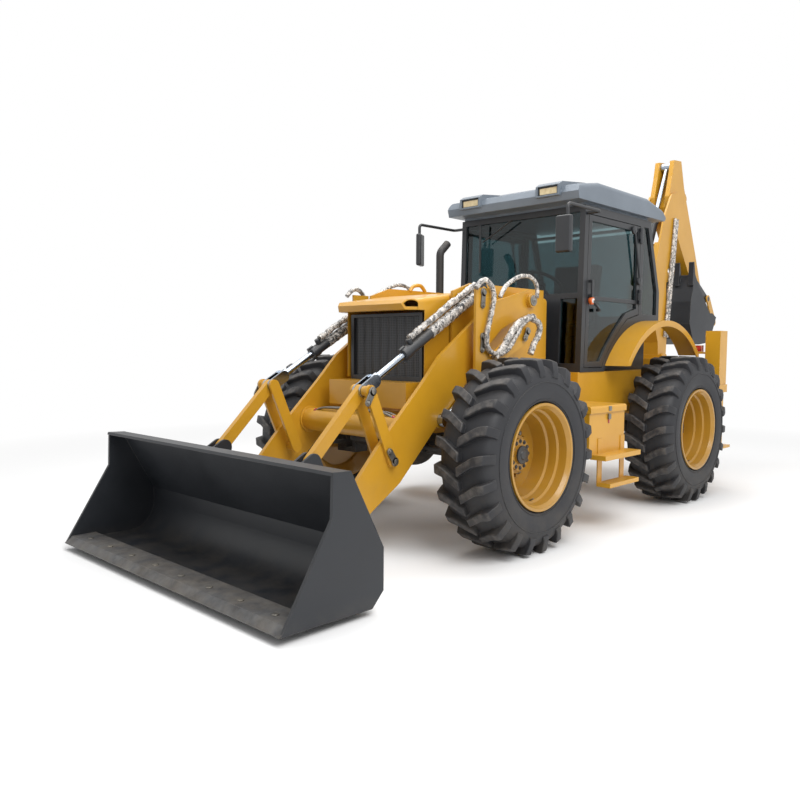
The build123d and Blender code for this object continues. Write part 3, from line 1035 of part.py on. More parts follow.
# ---------------------------------------------------------------- assembly
def build():
    """Every piece by name, in the working frame."""
    parts = {
        "chassis_frame": chassis_frame(), "loader_towers": both(tower()), "front_axle": front_axle(),
        "rear_axle": rear_axle(), "engine_block": engine_block(), "grille": grille(), "bonnet": bonnet(),
        "exhaust": exhaust(), "cab_frame": cab_frame(), "cab_glass": cab_glass(), "cab_roof": cab_roof(),
        "lamps": lamps(), "operator_seat": operator_seat(), "controls": controls(), "mudguards": mudguards(),
        "mirrors": mirrors(), "side_boxes": side_boxes(), "toolbox_lid": toolbox_lid(), "rear_frame": rear_frame(),
        "knuckle_left": knuckle(), "knuckle_right": mirror(knuckle(), about=Plane.XZ),
        "loader_arms": loader_arms(), "loader_bucket": loader_bucket(), "bell_cranks": both(bell_crank()),
        "tipping_links": both(tipping_link()), "dump_barrels": both(dump_barrel()), "dump_rods": both(dump_rod()),
        "lift_barrels": both(lift_barrel()), "lift_rods": both(lift_rod()),
        "slide_carriage": slide_carriage(), "swing_barrels": swing_barrels(), "kingpost": kingpost(), "boom": boom(),
        "dipper": dipper(), "backhoe_bucket": backhoe_bucket(), "bucket_lever": bucket_lever(), "bucket_link": bucket_link(),
    }
    for side, word in ((1, "left"), (-1, "right")):
        parts[f"door_{word}"] = door(side)
        parts[f"door_{word}_glass"] = door_glass(side)
        parts[f"stabiliser_leg_{word}"] = stabiliser_leg(side)
        parts[f"swing_rod_{word}"] = swing_rod(side)
    for name in HOE_CYLINDERS:
        parts[f"{name}_barrel"] = hoe_barrel(name)
        parts[f"{name}_rod"] = hoe_rod(name)
    tread, wheel = tyre(), rim()
    for end, x in (("front", 0), ("rear", -WHEELBASE)):
        for word, y in (("left", WHEEL_Y), ("right", -WHEEL_Y)):
            place = Pos(x, y, TYRE_R)
            parts[f"tyre_{end}_{word}"] = place * (tread if y > 0 else mirror(tread, about=Plane.XZ))
            parts[f"rim_{end}_{word}"] = place * (wheel if y > 0 else mirror(wheel, about=Plane.XZ))
    return {name: tidy(shape) for name, shape in parts.items()}


def main():
    """Move the whole so that its origin is the bottom centre of its box, then export."""
    parts = build()
    boxes = [shape.bounding_box() for shape in parts.values()]
    shift_x = -(min(b.min.X for b in boxes) + max(b.max.X for b in boxes)) / 2
    shift_z = -min(b.min.Z for b in boxes)
    os.makedirs("parts", exist_ok=True)
    for name, shape in parts.items():
        export_step(Pos(shift_x, 0, shift_z) * shape, f"parts/{name}.step")
    print("pieces", len(parts), "shift", round(shift_x, 3), round(shift_z, 3))
    return shift_x, shift_z


SHIFT = main()
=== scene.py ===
# %% [markdown]
# # Dressing a backhoe loader
# The machine's solids come from a CAD model, already in metres and in their places.
# This lesson gives each solid its finish and adds what a maker bolts, welds, ties or
# wraps on at the end: hoses, pin keepers, lamp rims, mesh, treads and seat pads.

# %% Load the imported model
import math

import bmesh
import bpy
from mathutils import Matrix, Quaternion, Vector, noise


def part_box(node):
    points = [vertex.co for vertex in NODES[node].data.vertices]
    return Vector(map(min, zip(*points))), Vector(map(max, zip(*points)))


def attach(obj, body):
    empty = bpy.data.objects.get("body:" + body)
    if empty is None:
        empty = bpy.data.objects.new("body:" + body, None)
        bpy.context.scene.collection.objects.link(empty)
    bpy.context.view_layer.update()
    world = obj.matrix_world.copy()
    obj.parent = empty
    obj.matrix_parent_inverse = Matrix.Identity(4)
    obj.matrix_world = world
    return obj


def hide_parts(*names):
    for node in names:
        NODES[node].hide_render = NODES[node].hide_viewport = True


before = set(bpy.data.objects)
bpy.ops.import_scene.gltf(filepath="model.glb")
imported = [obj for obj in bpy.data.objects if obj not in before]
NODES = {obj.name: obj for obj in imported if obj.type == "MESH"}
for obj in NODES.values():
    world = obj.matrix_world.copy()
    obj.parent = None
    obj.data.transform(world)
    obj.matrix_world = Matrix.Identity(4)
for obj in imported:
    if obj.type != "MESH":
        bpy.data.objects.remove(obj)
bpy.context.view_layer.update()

# %% [markdown]
# The drawing of the machine is measured from the middle of the front axle, on the
# ground, in millimetres: x forward, y to the machine's left and z up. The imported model
# has its own origin, so one helper turns drawing sizes into places. The axle is found
# from the tyre's box, so nothing here depends on where the model's origin lies.

# %% Drawing sizes to places
def middle(node_name):
    low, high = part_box(node_name)
    return (Vector(low) + Vector(high)) / 2


AXLE_X = middle("tyre_front_left").x
REAR_AXLE_X = middle("tyre_rear_left").x
WHEEL_UP = middle("tyre_front_left").z


def at(x, y, z):
    """A drawing place, in millimetres from the front axle, as a point in metres."""
    return Vector((AXLE_X + x / 1000, y / 1000, z / 1000))


def mm(length):
    return length / 1000


print("axles at x", round(AXLE_X, 3), round(REAR_AXLE_X, 3))

# %% [markdown]
# ## Camera
# The machine is seen from its front left corner, at about the height of an adult's
# chest, through a moderately wide lens. Direction first, then a small roll about the
# line of sight: a track quaternion does the first and a second quaternion the roll.

# %% Camera
EYE = at(3882.2, 3622.4, 1271)
HEADING = math.radians(224.099)
PITCH = math.radians(-4.018)
ROLL = math.radians(0.301)
sight = Vector((math.cos(HEADING) * math.cos(PITCH),
                math.sin(HEADING) * math.cos(PITCH),
                math.sin(PITCH)))
lens = bpy.data.cameras.new("camera")
lens.lens = 33.99
lens.sensor_width = 36
camera = bpy.data.objects.new("camera", lens)
bpy.context.scene.collection.objects.link(camera)
camera.location = EYE
camera.rotation_mode = "QUATERNION"
camera.rotation_quaternion = sight.to_track_quat("-Z", "Y") @ Quaternion((0, 0, 1), ROLL)
bpy.context.scene.camera = camera
bpy.context.scene.view_settings.view_transform = "Standard"
print("camera at", [round(v, 2) for v in camera.location])

# %% [markdown]
# ## Node helpers
# Every finish is a tree of shader nodes. One short function makes a node, sets what is
# a number and joins what is a socket, so that each finish below reads as a recipe.

# %% Node helpers
def srgb(red, green, blue):
    """A screen colour of 0 to 255 as the linear colour that shaders use."""
    def linear(level):
        share = level / 255
        return share / 12.92 if share <= 0.04045 else ((share + 0.055) / 1.055) ** 2.4
    return (linear(red), linear(green), linear(blue), 1.0)


def node(tree, kind, sockets=None, **settings):
    made = tree.nodes.new("ShaderNode" + kind)
    for key, value in settings.items():
        setattr(made, key, value)
    for key, value in (sockets or {}).items():
        if isinstance(value, bpy.types.NodeSocket):
            tree.links.new(value, made.inputs[key])
        else:
            made.inputs[key].default_value = value
    return made


def maths(tree, operation, first, second=0.0, third=0.0):
    sockets = {0: first, 1: second, 2: third}
    return node(tree, "Math", sockets, operation=operation).outputs[0]


def blended(tree, share, first, second):
    """A colour between two, by a share from 0 to 1."""
    return node(tree, "Mix", {0: share, 6: first, 7: second}, data_type="RGBA").outputs[2]


def ramp(tree, value, low, high, start=0.0, end=1.0):
    """A value stretched from one span to another and held inside it."""
    sockets = {"Value": value, "From Min": low, "From Max": high, "To Min": start, "To Max": end}
    return node(tree, "MapRange", sockets).outputs["Result"]


def new_group(name, inputs, outputs):
    tree = bpy.data.node_groups.new(name, "ShaderNodeTree")
    for label, kind, value in inputs:
        socket = tree.interface.new_socket(label, in_out="INPUT", socket_type="NodeSocket" + kind)
        socket.default_value = value
    for label, kind in outputs:
        tree.interface.new_socket(label, in_out="OUTPUT", socket_type="NodeSocket" + kind)
    return tree, tree.nodes.new("NodeGroupInput"), tree.nodes.new("NodeGroupOutput")


print("node helpers ready")

# %% [markdown]
# ## Shared effects
# Real machines look real through the same few effects on every part: broad patches of
# tone, fine grain, rounded edges tinted as wear, and on the yellow paint and the rims
# as a painted highlight, and dust that falls on ledges and creeps up from the ground.
# Each is a node group, so one recipe serves every finish with its own numbers. The
# Bevel node rounds an edge for the light only, which suits CAD solids.

# %% Worn surface group, with an edge mask for wear and painted highlight
worn, given, result = new_group(
    "worn_surface",
    [("Patch size", "Float", 3.0), ("Fine size", "Float", 300.0),
     ("Edge radius", "Float", 0.004), ("Edge amount", "Float", 0.5)],
    [("Patches", "Float"), ("Fine", "Float"), ("Edge", "Float"), ("Rounded", "Vector")])
place = node(worn, "TexCoord").outputs["Object"]
patches = node(worn, "TexNoise", {"Vector": place, "Scale": given.outputs["Patch size"],
                                  "Detail": 5.0, "Roughness": 0.62})
fine = node(worn, "TexNoise", {"Vector": place, "Scale": given.outputs["Fine size"],
                               "Detail": 2.0})
rounded = node(worn, "Bevel", {"Radius": given.outputs["Edge radius"]}, samples=3)
facing = node(worn, "NewGeometry").outputs["Normal"]
turn = node(worn, "VectorMath", {0: rounded.outputs[0], 1: facing}, operation="DOT_PRODUCT")
# Edge mask: worn edges, and on the yellow paint and the rims also where a painted highlight goes
edge = ramp(worn, turn.outputs["Value"], 0.995, 0.9)
spotty = ramp(worn, patches.outputs["Fac"], 0.42, 0.66)
rubbed_and_highlit_edge = maths(worn, "MULTIPLY", edge, spotty)
rubbed_and_highlit_edge = maths(worn, "MULTIPLY", rubbed_and_highlit_edge, given.outputs["Edge amount"])
for label, socket in (("Patches", patches.outputs["Fac"]), ("Fine", fine.outputs["Fac"]),
                      ("Edge", rubbed_and_highlit_edge), ("Rounded", rounded.outputs[0])):
    worn.links.new(socket, result.inputs[label])
print("group", worn.name)

# %% Dust group
dusty, given, result = new_group(
    "fallen_dust",
    [("Level", "Float", 0.9), ("Amount", "Float", 0.3)],
    [("Mask", "Float")])
place = node(dusty, "TexCoord").outputs["Object"]
height = node(dusty, "SeparateXYZ", {0: place}).outputs["Z"]
upward = node(dusty, "SeparateXYZ", {0: node(dusty, "NewGeometry").outputs["Normal"]})
ledge = ramp(dusty, upward.outputs["Z"], 0.25, 1.0, 0.0, 0.8)
below = maths(dusty, "DIVIDE", height, given.outputs["Level"])
near_ground = ramp(dusty, below, 1.0, 0.0)
clouds = node(dusty, "TexNoise", {"Vector": place, "Scale": 7.0, "Detail": 7.0,
                                  "Roughness": 0.7})
broken = ramp(dusty, clouds.outputs["Fac"], 0.38, 0.68)
spread = maths(dusty, "ADD", ledge, near_ground)
mask = maths(dusty, "MULTIPLY", spread, broken)
mask = maths(dusty, "MULTIPLY", mask, given.outputs["Amount"])
dusty.links.new(maths(dusty, "MINIMUM", mask, 1.0), result.inputs["Mask"])
print("group", dusty.name)

# %% [markdown]
# ## Finishes
# One function makes most finishes from a table of plain numbers: two tones, roughness,
# how much coat, how worn the edges are and their tone, which on the yellow paint and the
# rims is a paler painted highlight, and how much dust lies on it. Numbers that are the
# same all over go straight on the shader's own sockets.

# %% Finish maker
DUST = srgb(148, 136, 118)


def finish(name, tones, roughness, metallic=0.0, coat=0.0, bump=0.1, patch=2.5, grain=260.0,
           edge=(0.003, 0.3), edge_tone=srgb(150, 146, 140), dust=(0.9, 0.25)):
    """A worn, dusty solid colour: two tones, a roughness span, worn edges and dust; where the edge tint
    is paler than the paint it is also a painted highlight.
    """
    made = bpy.data.materials.new(name)
    made.use_nodes = True
    tree = made.node_tree
    shader = tree.nodes["Principled BSDF"]
    surface = node(tree, "Group", node_tree=worn)
    surface.inputs["Patch size"].default_value = patch
    surface.inputs["Fine size"].default_value = grain
    surface.inputs["Edge radius"].default_value = edge[0]
    surface.inputs["Edge amount"].default_value = edge[1]
    fallen = node(tree, "Group", node_tree=dusty)
    fallen.inputs["Level"].default_value = dust[0]
    fallen.inputs["Amount"].default_value = dust[1]
    tone = blended(tree, ramp(tree, surface.outputs["Patches"], 0.3, 0.7), tones[0], tones[1])
    # Edges take the edge tone: wear, and where the tone is paler than the paint, a painted highlight
    tone = blended(tree, surface.outputs["Edge"], tone, edge_tone)
    tone = blended(tree, fallen.outputs["Mask"], tone, DUST)
    tree.links.new(tone, shader.inputs["Base Color"])
    rough = ramp(tree, surface.outputs["Patches"], 0.25, 0.75, roughness[0], roughness[1])
    rough = maths(tree, "MULTIPLY_ADD", fallen.outputs["Mask"], 0.5, rough)
    tree.links.new(maths(tree, "MINIMUM", rough, 1.0), shader.inputs["Roughness"])
    shader.inputs["Metallic"].default_value = metallic
    shader.inputs["Coat Weight"].default_value = coat
    shader.inputs["Coat Roughness"].default_value = 0.12
    relief = node(tree, "Bump", {"Height": surface.outputs["Fine"], "Strength": bump,
                                 "Distance": 0.0006, "Normal": surface.outputs["Rounded"]})
    tree.links.new(relief.outputs[0], shader.inputs["Normal"])
    return made


# name: tones, roughness, and what differs from the maker's own values
# The pale yellow edge tone is a painted highlight along the edges as well as wear
yellow = finish("yellow", (srgb(206, 152, 36), srgb(194, 142, 32)), (0.32, 0.45), coat=0.3,
                bump=0.05, edge=(0.003, 0.12), edge_tone=srgb(235, 190, 110), dust=(0.8, 0.18))
black_paint = finish("black_paint", (srgb(34, 36, 40), srgb(42, 44, 47)), (0.35, 0.5), coat=0.1)
bucket_steel = finish("bucket_steel", (srgb(25, 28, 33), srgb(38, 41, 46)), (0.38, 0.58),
                      bump=0.25, patch=1.6, edge=(0.005, 0.5), dust=(0.12, 0.1))
worn_edge = finish("worn_edge", (srgb(98, 98, 98), srgb(60, 60, 62)), (0.45, 0.7), metallic=0.3,
                   bump=0.6, patch=9.0, grain=90.0, edge=(0.004, 0.8), dust=(0.12, 0.25))
roof_plastic = finish("roof_plastic", (srgb(108, 117, 127), srgb(120, 129, 139)), (0.34, 0.44),
                      metallic=0.25, bump=0.15, edge=(0.008, 0.1), dust=(0.5, 0.12))
panel_plastic = finish("panel_plastic", (srgb(52, 54, 58), srgb(60, 62, 65)), (0.5, 0.62),
                       bump=0.5, grain=420.0, dust=(0.5, 0.15))
rod_chrome = finish("rod_chrome", (srgb(176, 184, 194), srgb(160, 168, 178)), (0.08, 0.18),
                    metallic=1.0, bump=0.02, edge=(0.001, 0.0), dust=(0.4, 0.05))
plain_steel = finish("plain_steel", (srgb(150, 148, 142), srgb(120, 116, 110)), (0.3, 0.5),
                     metallic=0.9, bump=0.2, edge=(0.002, 0.4))
cast = finish("cast", (srgb(30, 31, 33), srgb(42, 42, 43)), (0.5, 0.7), bump=0.8, grain=160.0,
              dust=(1.0, 0.45))
seat_vinyl = finish("seat_vinyl", (srgb(36, 36, 38), srgb(46, 46, 48)), (0.45, 0.6), bump=0.6,
                    grain=520.0, edge=(0.004, 0.1))
rubber = finish("rubber", (srgb(30, 30, 32), srgb(40, 40, 42)), (0.55, 0.75), bump=0.4,
                grain=300.0, edge=(0.002, 0.1))
# The pale gold edge tone is a painted highlight along the rims' edges as well as wear
rim = finish("rim", (srgb(178, 132, 40), srgb(164, 120, 35)), (0.32, 0.42), coat=0.3, bump=0.06,
             edge=(0.004, 0.15), edge_tone=srgb(232, 190, 110), dust=(0.5, 0.2))
engine_paint = finish("engine_paint", (srgb(48, 47, 44), srgb(62, 60, 55)), (0.5, 0.7), bump=0.5)
print("finishes", len(bpy.data.materials))

# %% [markdown]
# Tyre rubber carries pale dust where the lugs touched the ground. The lug faces are the
# points furthest from the axle, so the mask measures that distance: a Mapping node puts
# the axle at the pattern's centre, and one finish serves each axle.

# %% Tyre rubber
def tyre_rubber(name, axle_x):
    made = finish(name, (srgb(29, 30, 34), srgb(40, 41, 45)), (0.5, 0.72), bump=0.5, grain=180.0,
                  patch=4.0, edge=(0.004, 0.35), edge_tone=srgb(86, 83, 80), dust=(0.7, 0.14))
    tree = made.node_tree
    shader = tree.nodes["Principled BSDF"]
    under = shader.inputs["Base Color"].links[0].from_socket
    place = node(tree, "TexCoord").outputs["Object"]
    centred = node(tree, "Mapping", {"Vector": place, "Location": (-axle_x, 0, -WHEEL_UP)})
    split = node(tree, "SeparateXYZ", {0: centred.outputs[0]})
    across = maths(tree, "MULTIPLY", split.outputs["X"], split.outputs["X"])
    upward = maths(tree, "MULTIPLY", split.outputs["Z"], split.outputs["Z"])
    reach = maths(tree, "SQRT", maths(tree, "ADD", across, upward))
    face = ramp(tree, reach, 0.588, 0.597)
    scuff = node(tree, "TexNoise", {"Vector": place, "Scale": 22.0, "Detail": 6.0})
    mask = maths(tree, "MULTIPLY", face, ramp(tree, scuff.outputs["Fac"], 0.42, 0.7, 0.05, 0.6))
    tone = blended(tree, mask, under, srgb(104, 99, 94))
    tree.links.new(tone, shader.inputs["Base Color"])
    return made


tyre_front = tyre_rubber("tyre_front_rubber", AXLE_X)
tyre_rear = tyre_rubber("tyre_rear_rubber", REAR_AXLE_X)
print("tyre finishes ready")

# %% [markdown]
# Cab glass is tinted blue-grey and clean enough to mirror the surroundings. Glass keeps
# plain numbers for transmission; only a faint dirt pattern drives its roughness. Lamp
# lenses are warm, moulded plastic with ribs pressed in them; their finish gives a fine
# bump in place of the ribs.

# %% Glass and lenses
def glass(name, tint, roughness=0.03, ribs=0.0):
    made = bpy.data.materials.new(name)
    made.use_nodes = True
    tree = made.node_tree
    shader = tree.nodes["Principled BSDF"]
    place = node(tree, "TexCoord").outputs["Object"]
    film = node(tree, "TexNoise", {"Vector": place, "Scale": 5.0, "Detail": 6.0})
    haze = ramp(tree, film.outputs["Fac"], 0.4, 0.75, roughness, roughness * 2.5)
    tree.links.new(haze, shader.inputs["Roughness"])
    shade = blended(tree, ramp(tree, film.outputs["Fac"], 0.4, 0.7), tint,
                    tuple(0.9 * level for level in tint[:3]) + (1.0,))
    tree.links.new(shade, shader.inputs["Base Color"])
    shader.inputs["Transmission Weight"].default_value = 1.0
    shader.inputs["IOR"].default_value = 1.45
    if ribs:
        wave = node(tree, "TexWave", {"Vector": place, "Scale": 40.0}, bands_direction="Y")
        relief = node(tree, "Bump", {"Height": wave.outputs["Fac"], "Strength": ribs,
                                     "Distance": 0.002})
        tree.links.new(relief.outputs[0], shader.inputs["Normal"])
    return made


pane = glass("pane", srgb(96, 124, 128))
lamp_lens = finish("lamp_lens", (srgb(232, 214, 168), srgb(206, 184, 138)), (0.1, 0.25), coat=0.8,
                   bump=0.9, patch=30.0, grain=60.0, edge=(0.002, 0.0), dust=(0.2, 0.05))
red_lens = finish("red_lens", (srgb(176, 26, 30), srgb(150, 20, 26)), (0.12, 0.25), coat=0.8,
                  bump=0.7, patch=20.0, grain=80.0, edge=(0.002, 0.0), dust=(0.2, 0.1))
amber_lens = finish("amber_lens", (srgb(226, 104, 28), srgb(206, 90, 22)), (0.15, 0.3), coat=0.6,
                    bump=0.5, patch=20.0, grain=90.0, edge=(0.002, 0.0), dust=(0.2, 0.05))
white_plastic = finish("white_plastic", (srgb(226, 226, 222), srgb(212, 212, 208)), (0.3, 0.45),
                       bump=0.2, edge=(0.002, 0.1))
mirror_glass = finish("mirror_glass", (srgb(210, 216, 220), srgb(200, 206, 212)), (0.02, 0.05),
                      metallic=1.0, bump=0.0, edge=(0.001, 0.0), dust=(0.2, 0.02))
print("glass and lenses ready")

# %% [markdown]
# New machines leave the works with hoses and cylinders wrapped in clear film. Crumpled
# film is mostly glints: it shows pale folds over the dark thing inside. A stretched
# noise gives the pale and dark streaks, the pale colour being partly the film's own
# whitish tint and partly painted glints, and a strong bump gives the glints.

# %% Wrapping film
def film_finish(name, inside, pale):
    made = bpy.data.materials.new(name)
    made.use_nodes = True
    tree = made.node_tree
    shader = tree.nodes["Principled BSDF"]
    place = node(tree, "TexCoord").outputs["Object"]
    folds = node(tree, "TexNoise", {"Vector": place, "Scale": 34.0, "Detail": 7.0,
                                    "Roughness": 0.62, "Distortion": 1.2})
    # Pale streaks: partly the film's whitish tint, partly painted glints over the dark inside
    share = ramp(tree, folds.outputs["Fac"], 0.42, 0.62)
    tree.links.new(blended(tree, share, inside, pale), shader.inputs["Base Color"])
    rough = ramp(tree, folds.outputs["Fac"], 0.3, 0.7, 0.12, 0.42)
    tree.links.new(rough, shader.inputs["Roughness"])
    shader.inputs["Coat Weight"].default_value = 0.6
    shader.inputs["Coat Roughness"].default_value = 0.08
    relief = node(tree, "Bump", {"Height": folds.outputs["Fac"], "Strength": 0.9,
                                 "Distance": 0.006})
    tree.links.new(relief.outputs[0], shader.inputs["Normal"])
    return made


film_on_hose = film_finish("film_on_hose", srgb(92, 90, 88), srgb(226, 218, 208))
film_on_barrel = film_finish("film_on_barrel", srgb(58, 58, 60), srgb(210, 204, 196))
print("film ready")

# %% [markdown]
# ## Finishes on the solids
# A table says which solid wears which finish. Assigning to the slots keeps each solid's
# mesh as it came, which the frame asks for.

# %% Finishes on the solids
WEARS = {
    yellow: ["chassis_frame", "loader_towers", "loader_arms", "bell_cranks", "tipping_links",
             "bonnet", "mudguards", "side_boxes", "toolbox_lid", "rear_frame", "kingpost",
             "slide_carriage", "boom", "dipper", "stabiliser_leg_left", "stabiliser_leg_right",
             "lift_barrels", "bucket_link"],
    black_paint: ["grille", "cab_frame", "door_left", "door_right", "mirrors", "dump_barrels",
                  "swing_barrels", "boom_barrel", "dipper_barrel", "bucket_barrel",
                  "bucket_lever"],
    bucket_steel: ["loader_bucket", "backhoe_bucket"],
    roof_plastic: ["cab_roof"],
    cast: ["front_axle", "rear_axle", "knuckle_left", "knuckle_right", "exhaust"],
    engine_paint: ["engine_block"],
    seat_vinyl: ["operator_seat", "controls"],
    lamp_lens: ["lamps"],
    pane: ["cab_glass", "door_left_glass", "door_right_glass"],
    rod_chrome: ["dump_rods", "lift_rods", "swing_rod_left", "swing_rod_right", "boom_rod",
                 "dipper_rod", "bucket_rod"],
    tyre_front: ["tyre_front_left", "tyre_front_right"],
    tyre_rear: ["tyre_rear_left", "tyre_rear_right"],
    rim: ["rim_front_left", "rim_front_right", "rim_rear_left", "rim_rear_right"],
}
for surface, names in WEARS.items():
    for name in names:
        for slot in NODES[name].material_slots:
            slot.material = surface
bare = set(NODES) - {name for names in WEARS.values() for name in names}
print("solids without a finish:", sorted(bare))

# %% [markdown]
# ## Making helpers
# Each new piece is a bmesh that starts from an operator's shape, is moved into place,
# has its edges bevelled, and is handed over with one finish and the body it rides on.

# %% Making helpers
def hand_over(bm, name, body, surface, smooth=35):
    """A finished bmesh as a piece that rides on a body."""
    bmesh.ops.recalc_face_normals(bm, faces=bm.faces)
    mesh = bpy.data.meshes.new(name)
    bm.to_mesh(mesh)
    bm.free()
    mesh.shade_smooth()
    mesh.set_sharp_from_angle(angle=math.radians(smooth))
    mesh.materials.append(surface)
    made = bpy.data.objects.new(name, mesh)
    bpy.context.scene.collection.objects.link(made)
    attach(made, body)
    return made


def soften(bm, verts, width, segments=2, sharp=30):
    """Bevels the sharp edges that join some vertices."""
    if not width:
        return
    limit = math.radians(sharp)
    edges = [e for e in {e for v in verts for e in v.link_edges}
             if len(e.link_faces) == 2 and e.calc_face_angle(0) > limit]
    bmesh.ops.bevel(bm, geom=edges, offset=width, segments=segments, profile=0.5,
                    affect="EDGES", material=-1, clamp_overlap=True)


def add_block(bm, low, high, width=0.0, segments=2):
    """A box between two places."""
    made = bmesh.ops.create_cube(bm, size=1.0)["verts"]
    size = Vector(high) - Vector(low)
    bmesh.ops.scale(bm, vec=[abs(v) for v in size], verts=made)
    bmesh.ops.translate(bm, vec=(Vector(low) + Vector(high)) / 2, verts=made)
    soften(bm, made, width, segments)


def add_disc(bm, centre, axis, radius, depth, sides=28, width=0.0, tip=None):
    """A round, or a hexagon with six sides, about an axis through its middle."""
    turn = Vector(axis).to_track_quat("Z", "Y").to_matrix().to_4x4()
    made = bmesh.ops.create_cone(bm, cap_ends=True, segments=sides, radius1=radius,
                                 radius2=radius if tip is None else tip, depth=depth,
                                 matrix=Matrix.Translation(centre) @ turn)["verts"]
    soften(bm, made, width, 2, 40)


def add_rod(bm, start, end, radius, sides=20, width=0.0, tip=None):
    """A round bar between two places."""
    line = Vector(end) - Vector(start)
    add_disc(bm, (Vector(start) + Vector(end)) / 2, line, radius, line.length, sides, width, tip)


def add_plate(bm, outline, low_y, high_y, width=0.0, segments=2):
    """A plate with a side outline in drawing millimetres, from one y to another."""
    ring = [bm.verts.new(at(x, low_y, z)) for x, z in outline]
    face = bm.faces.new(ring)
    raised = bmesh.ops.extrude_face_region(bm, geom=[face])["geom"]
    verts = [g for g in raised if isinstance(g, bmesh.types.BMVert)]
    bmesh.ops.translate(bm, vec=(0, mm(high_y - low_y), 0), verts=verts)
    soften(bm, verts + ring, width, segments)


def add_bolt(bm, seat, axis, across=0.019, height=0.011):
    """A hexagon head on its washer, standing on a place along an axis."""
    axis = Vector(axis).normalized()
    add_disc(bm, Vector(seat) + axis * 0.001, axis, across * 0.85, 0.003, 20, 0.0005)
    add_disc(bm, Vector(seat) + axis * height / 2, axis, across / 2 / 0.866, height, 6, 0.001)


LEFT = Vector((0, 1, 0))
UP = Vector((0, 0, 1))
AHEAD = Vector((1, 0, 0))
print("making helpers ready")

# %% [markdown]
# A hydraulic hose is a length of stiff rubber that bows between two fittings. It is drawn
# as one smooth NURBS line through a few loose points, given its thickness, and turned
# into a mesh. A wrapped hose is thicker and crumpled: each ring of points is pushed in
# or out by a smooth noise, so its outline is never quite round.

# %% Hose helper
def hose(name, body, route, radius, surface, crumple=0.0, sides=3):
    """A hose along a route of places."""
    line = bpy.data.curves.new(name, "CURVE")
    line.dimensions = "3D"
    line.bevel_depth = radius
    line.bevel_resolution = sides
    line.use_fill_caps = True
    line.resolution_u = 10 if crumple else 6
    spline = line.splines.new("NURBS")
    spline.points.add(len(route) - 1)
    for point, spot in zip(spline.points, route):
        point.co = (*spot, 1.0)
    spline.order_u = 3
    spline.use_endpoint_u = True
    drawn = bpy.data.objects.new(name + "_line", line)
    bpy.context.scene.collection.objects.link(drawn)
    bpy.context.view_layer.update()
    mesh = bpy.data.meshes.new_from_object(drawn.evaluated_get(
        bpy.context.evaluated_depsgraph_get()))
    bpy.data.objects.remove(drawn)
    mesh.name = name
    mesh.materials.clear()
    mesh.materials.append(surface)
    if crumple:
        mesh.update()
        pushes = [v.normal * crumple * noise.noise(v.co * 38.0) for v in mesh.vertices]
        for v, push in zip(mesh.vertices, pushes):
            v.co += push
    mesh.shade_smooth()
    made = bpy.data.objects.new(name, mesh)
    bpy.context.scene.collection.objects.link(made)
    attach(made, body)
    return made


SIDES = {"left": 1, "right": -1}
print("hose helper ready")

# %% [markdown]
# ## Loader pins
# Each pivot pin is stopped by a keeper: an oblong plate welded over the pin's end and
# bolted to the part beside it. The plate is a bar with round ends, which two discs and
# a block make, and the pin's end stands on it as a smaller disc, without its centre hole.

# %% Pin keepers
ARM_PIVOT = (-665, 1605)
LIFT_BASE = (-500, 1385)
LIFT_LUG = (290, 812)
DUMP_BASE = (-190, 1655)
LEVER_FOOT = (735, 597)
LEVER_TOP = (920, 1018)
BUCKET_HINGE = (1110, 222)

# name, body, pin, outer face y, keeper's direction in degrees, keeper's length
KEEPERS = [
    ("keepers_lever_foot", "bell_cranks", LEVER_FOOT, 530, 55, 78),
    ("keepers_lever_top", "bell_cranks", LEVER_TOP, 532, -60, 74),
    ("keepers_bucket", "loader_bucket", BUCKET_HINGE, 526, 60, 86),
    ("keepers_lift", "frame", LIFT_BASE, 599, -60, 60),
    ("keepers_dump", "frame", (-15, 1625), 587, -85, 84),
    ("keepers_strip", "frame", (-15, 1340), 587, -85, 84),
]


def add_keeper(bm, pin_at, face_y, angle, length, side):
    x, z = pin_at
    reach = math.radians(angle)
    far = (x + length * math.cos(reach), z + length * math.sin(reach))
    start, end = at(x, side * (face_y + 5), z), at(far[0], side * (face_y + 5), far[1])
    add_disc(bm, start, LEFT, mm(27), mm(9), 28, mm(1.2))
    add_disc(bm, end, LEFT, mm(20), mm(9), 24, mm(1.2))
    across = (end - start).cross(LEFT).normalized() * mm(20)
    made = bmesh.ops.create_cube(bm, size=1.0)["verts"]
    turn = (end - start).to_track_quat("X", "Z").to_matrix().to_4x4()
    bmesh.ops.scale(bm, vec=((end - start).length, mm(9), across.length * 2), verts=made)
    bmesh.ops.transform(bm, matrix=Matrix.Translation((start + end) / 2) @ turn, verts=made)
    outward = LEFT * side
    add_disc(bm, start + outward * mm(9), LEFT, mm(17), mm(8), 24, mm(1))
    add_bolt(bm, end + outward * mm(4.5), outward)


for name, body, pin_at, face_y, angle, length in KEEPERS:
    bm = bmesh.new()
    for side in SIDES.values():
        add_keeper(bm, pin_at, face_y, angle, length, side)
    hand_over(bm, name, body, plain_steel)
print("keepers", len(KEEPERS))

# %% [markdown]
# A round cap with one bolt closes each end of the arms' pivot.

# %% Caps on the arm pivots
bm = bmesh.new()
for side in SIDES.values():
    cap = at(ARM_PIVOT[0], side * 536, ARM_PIVOT[1])
    add_disc(bm, cap, LEFT, mm(38), mm(8), 32, mm(1.5))
    add_disc(bm, cap + LEFT * side * mm(5), LEFT, mm(22), mm(8), 28, mm(1.5))
    add_bolt(bm, cap + LEFT * side * mm(9), LEFT * side, 0.014, 0.008)
hand_over(bm, "pivot_caps", "frame", plain_steel)
print("pivot caps ready")

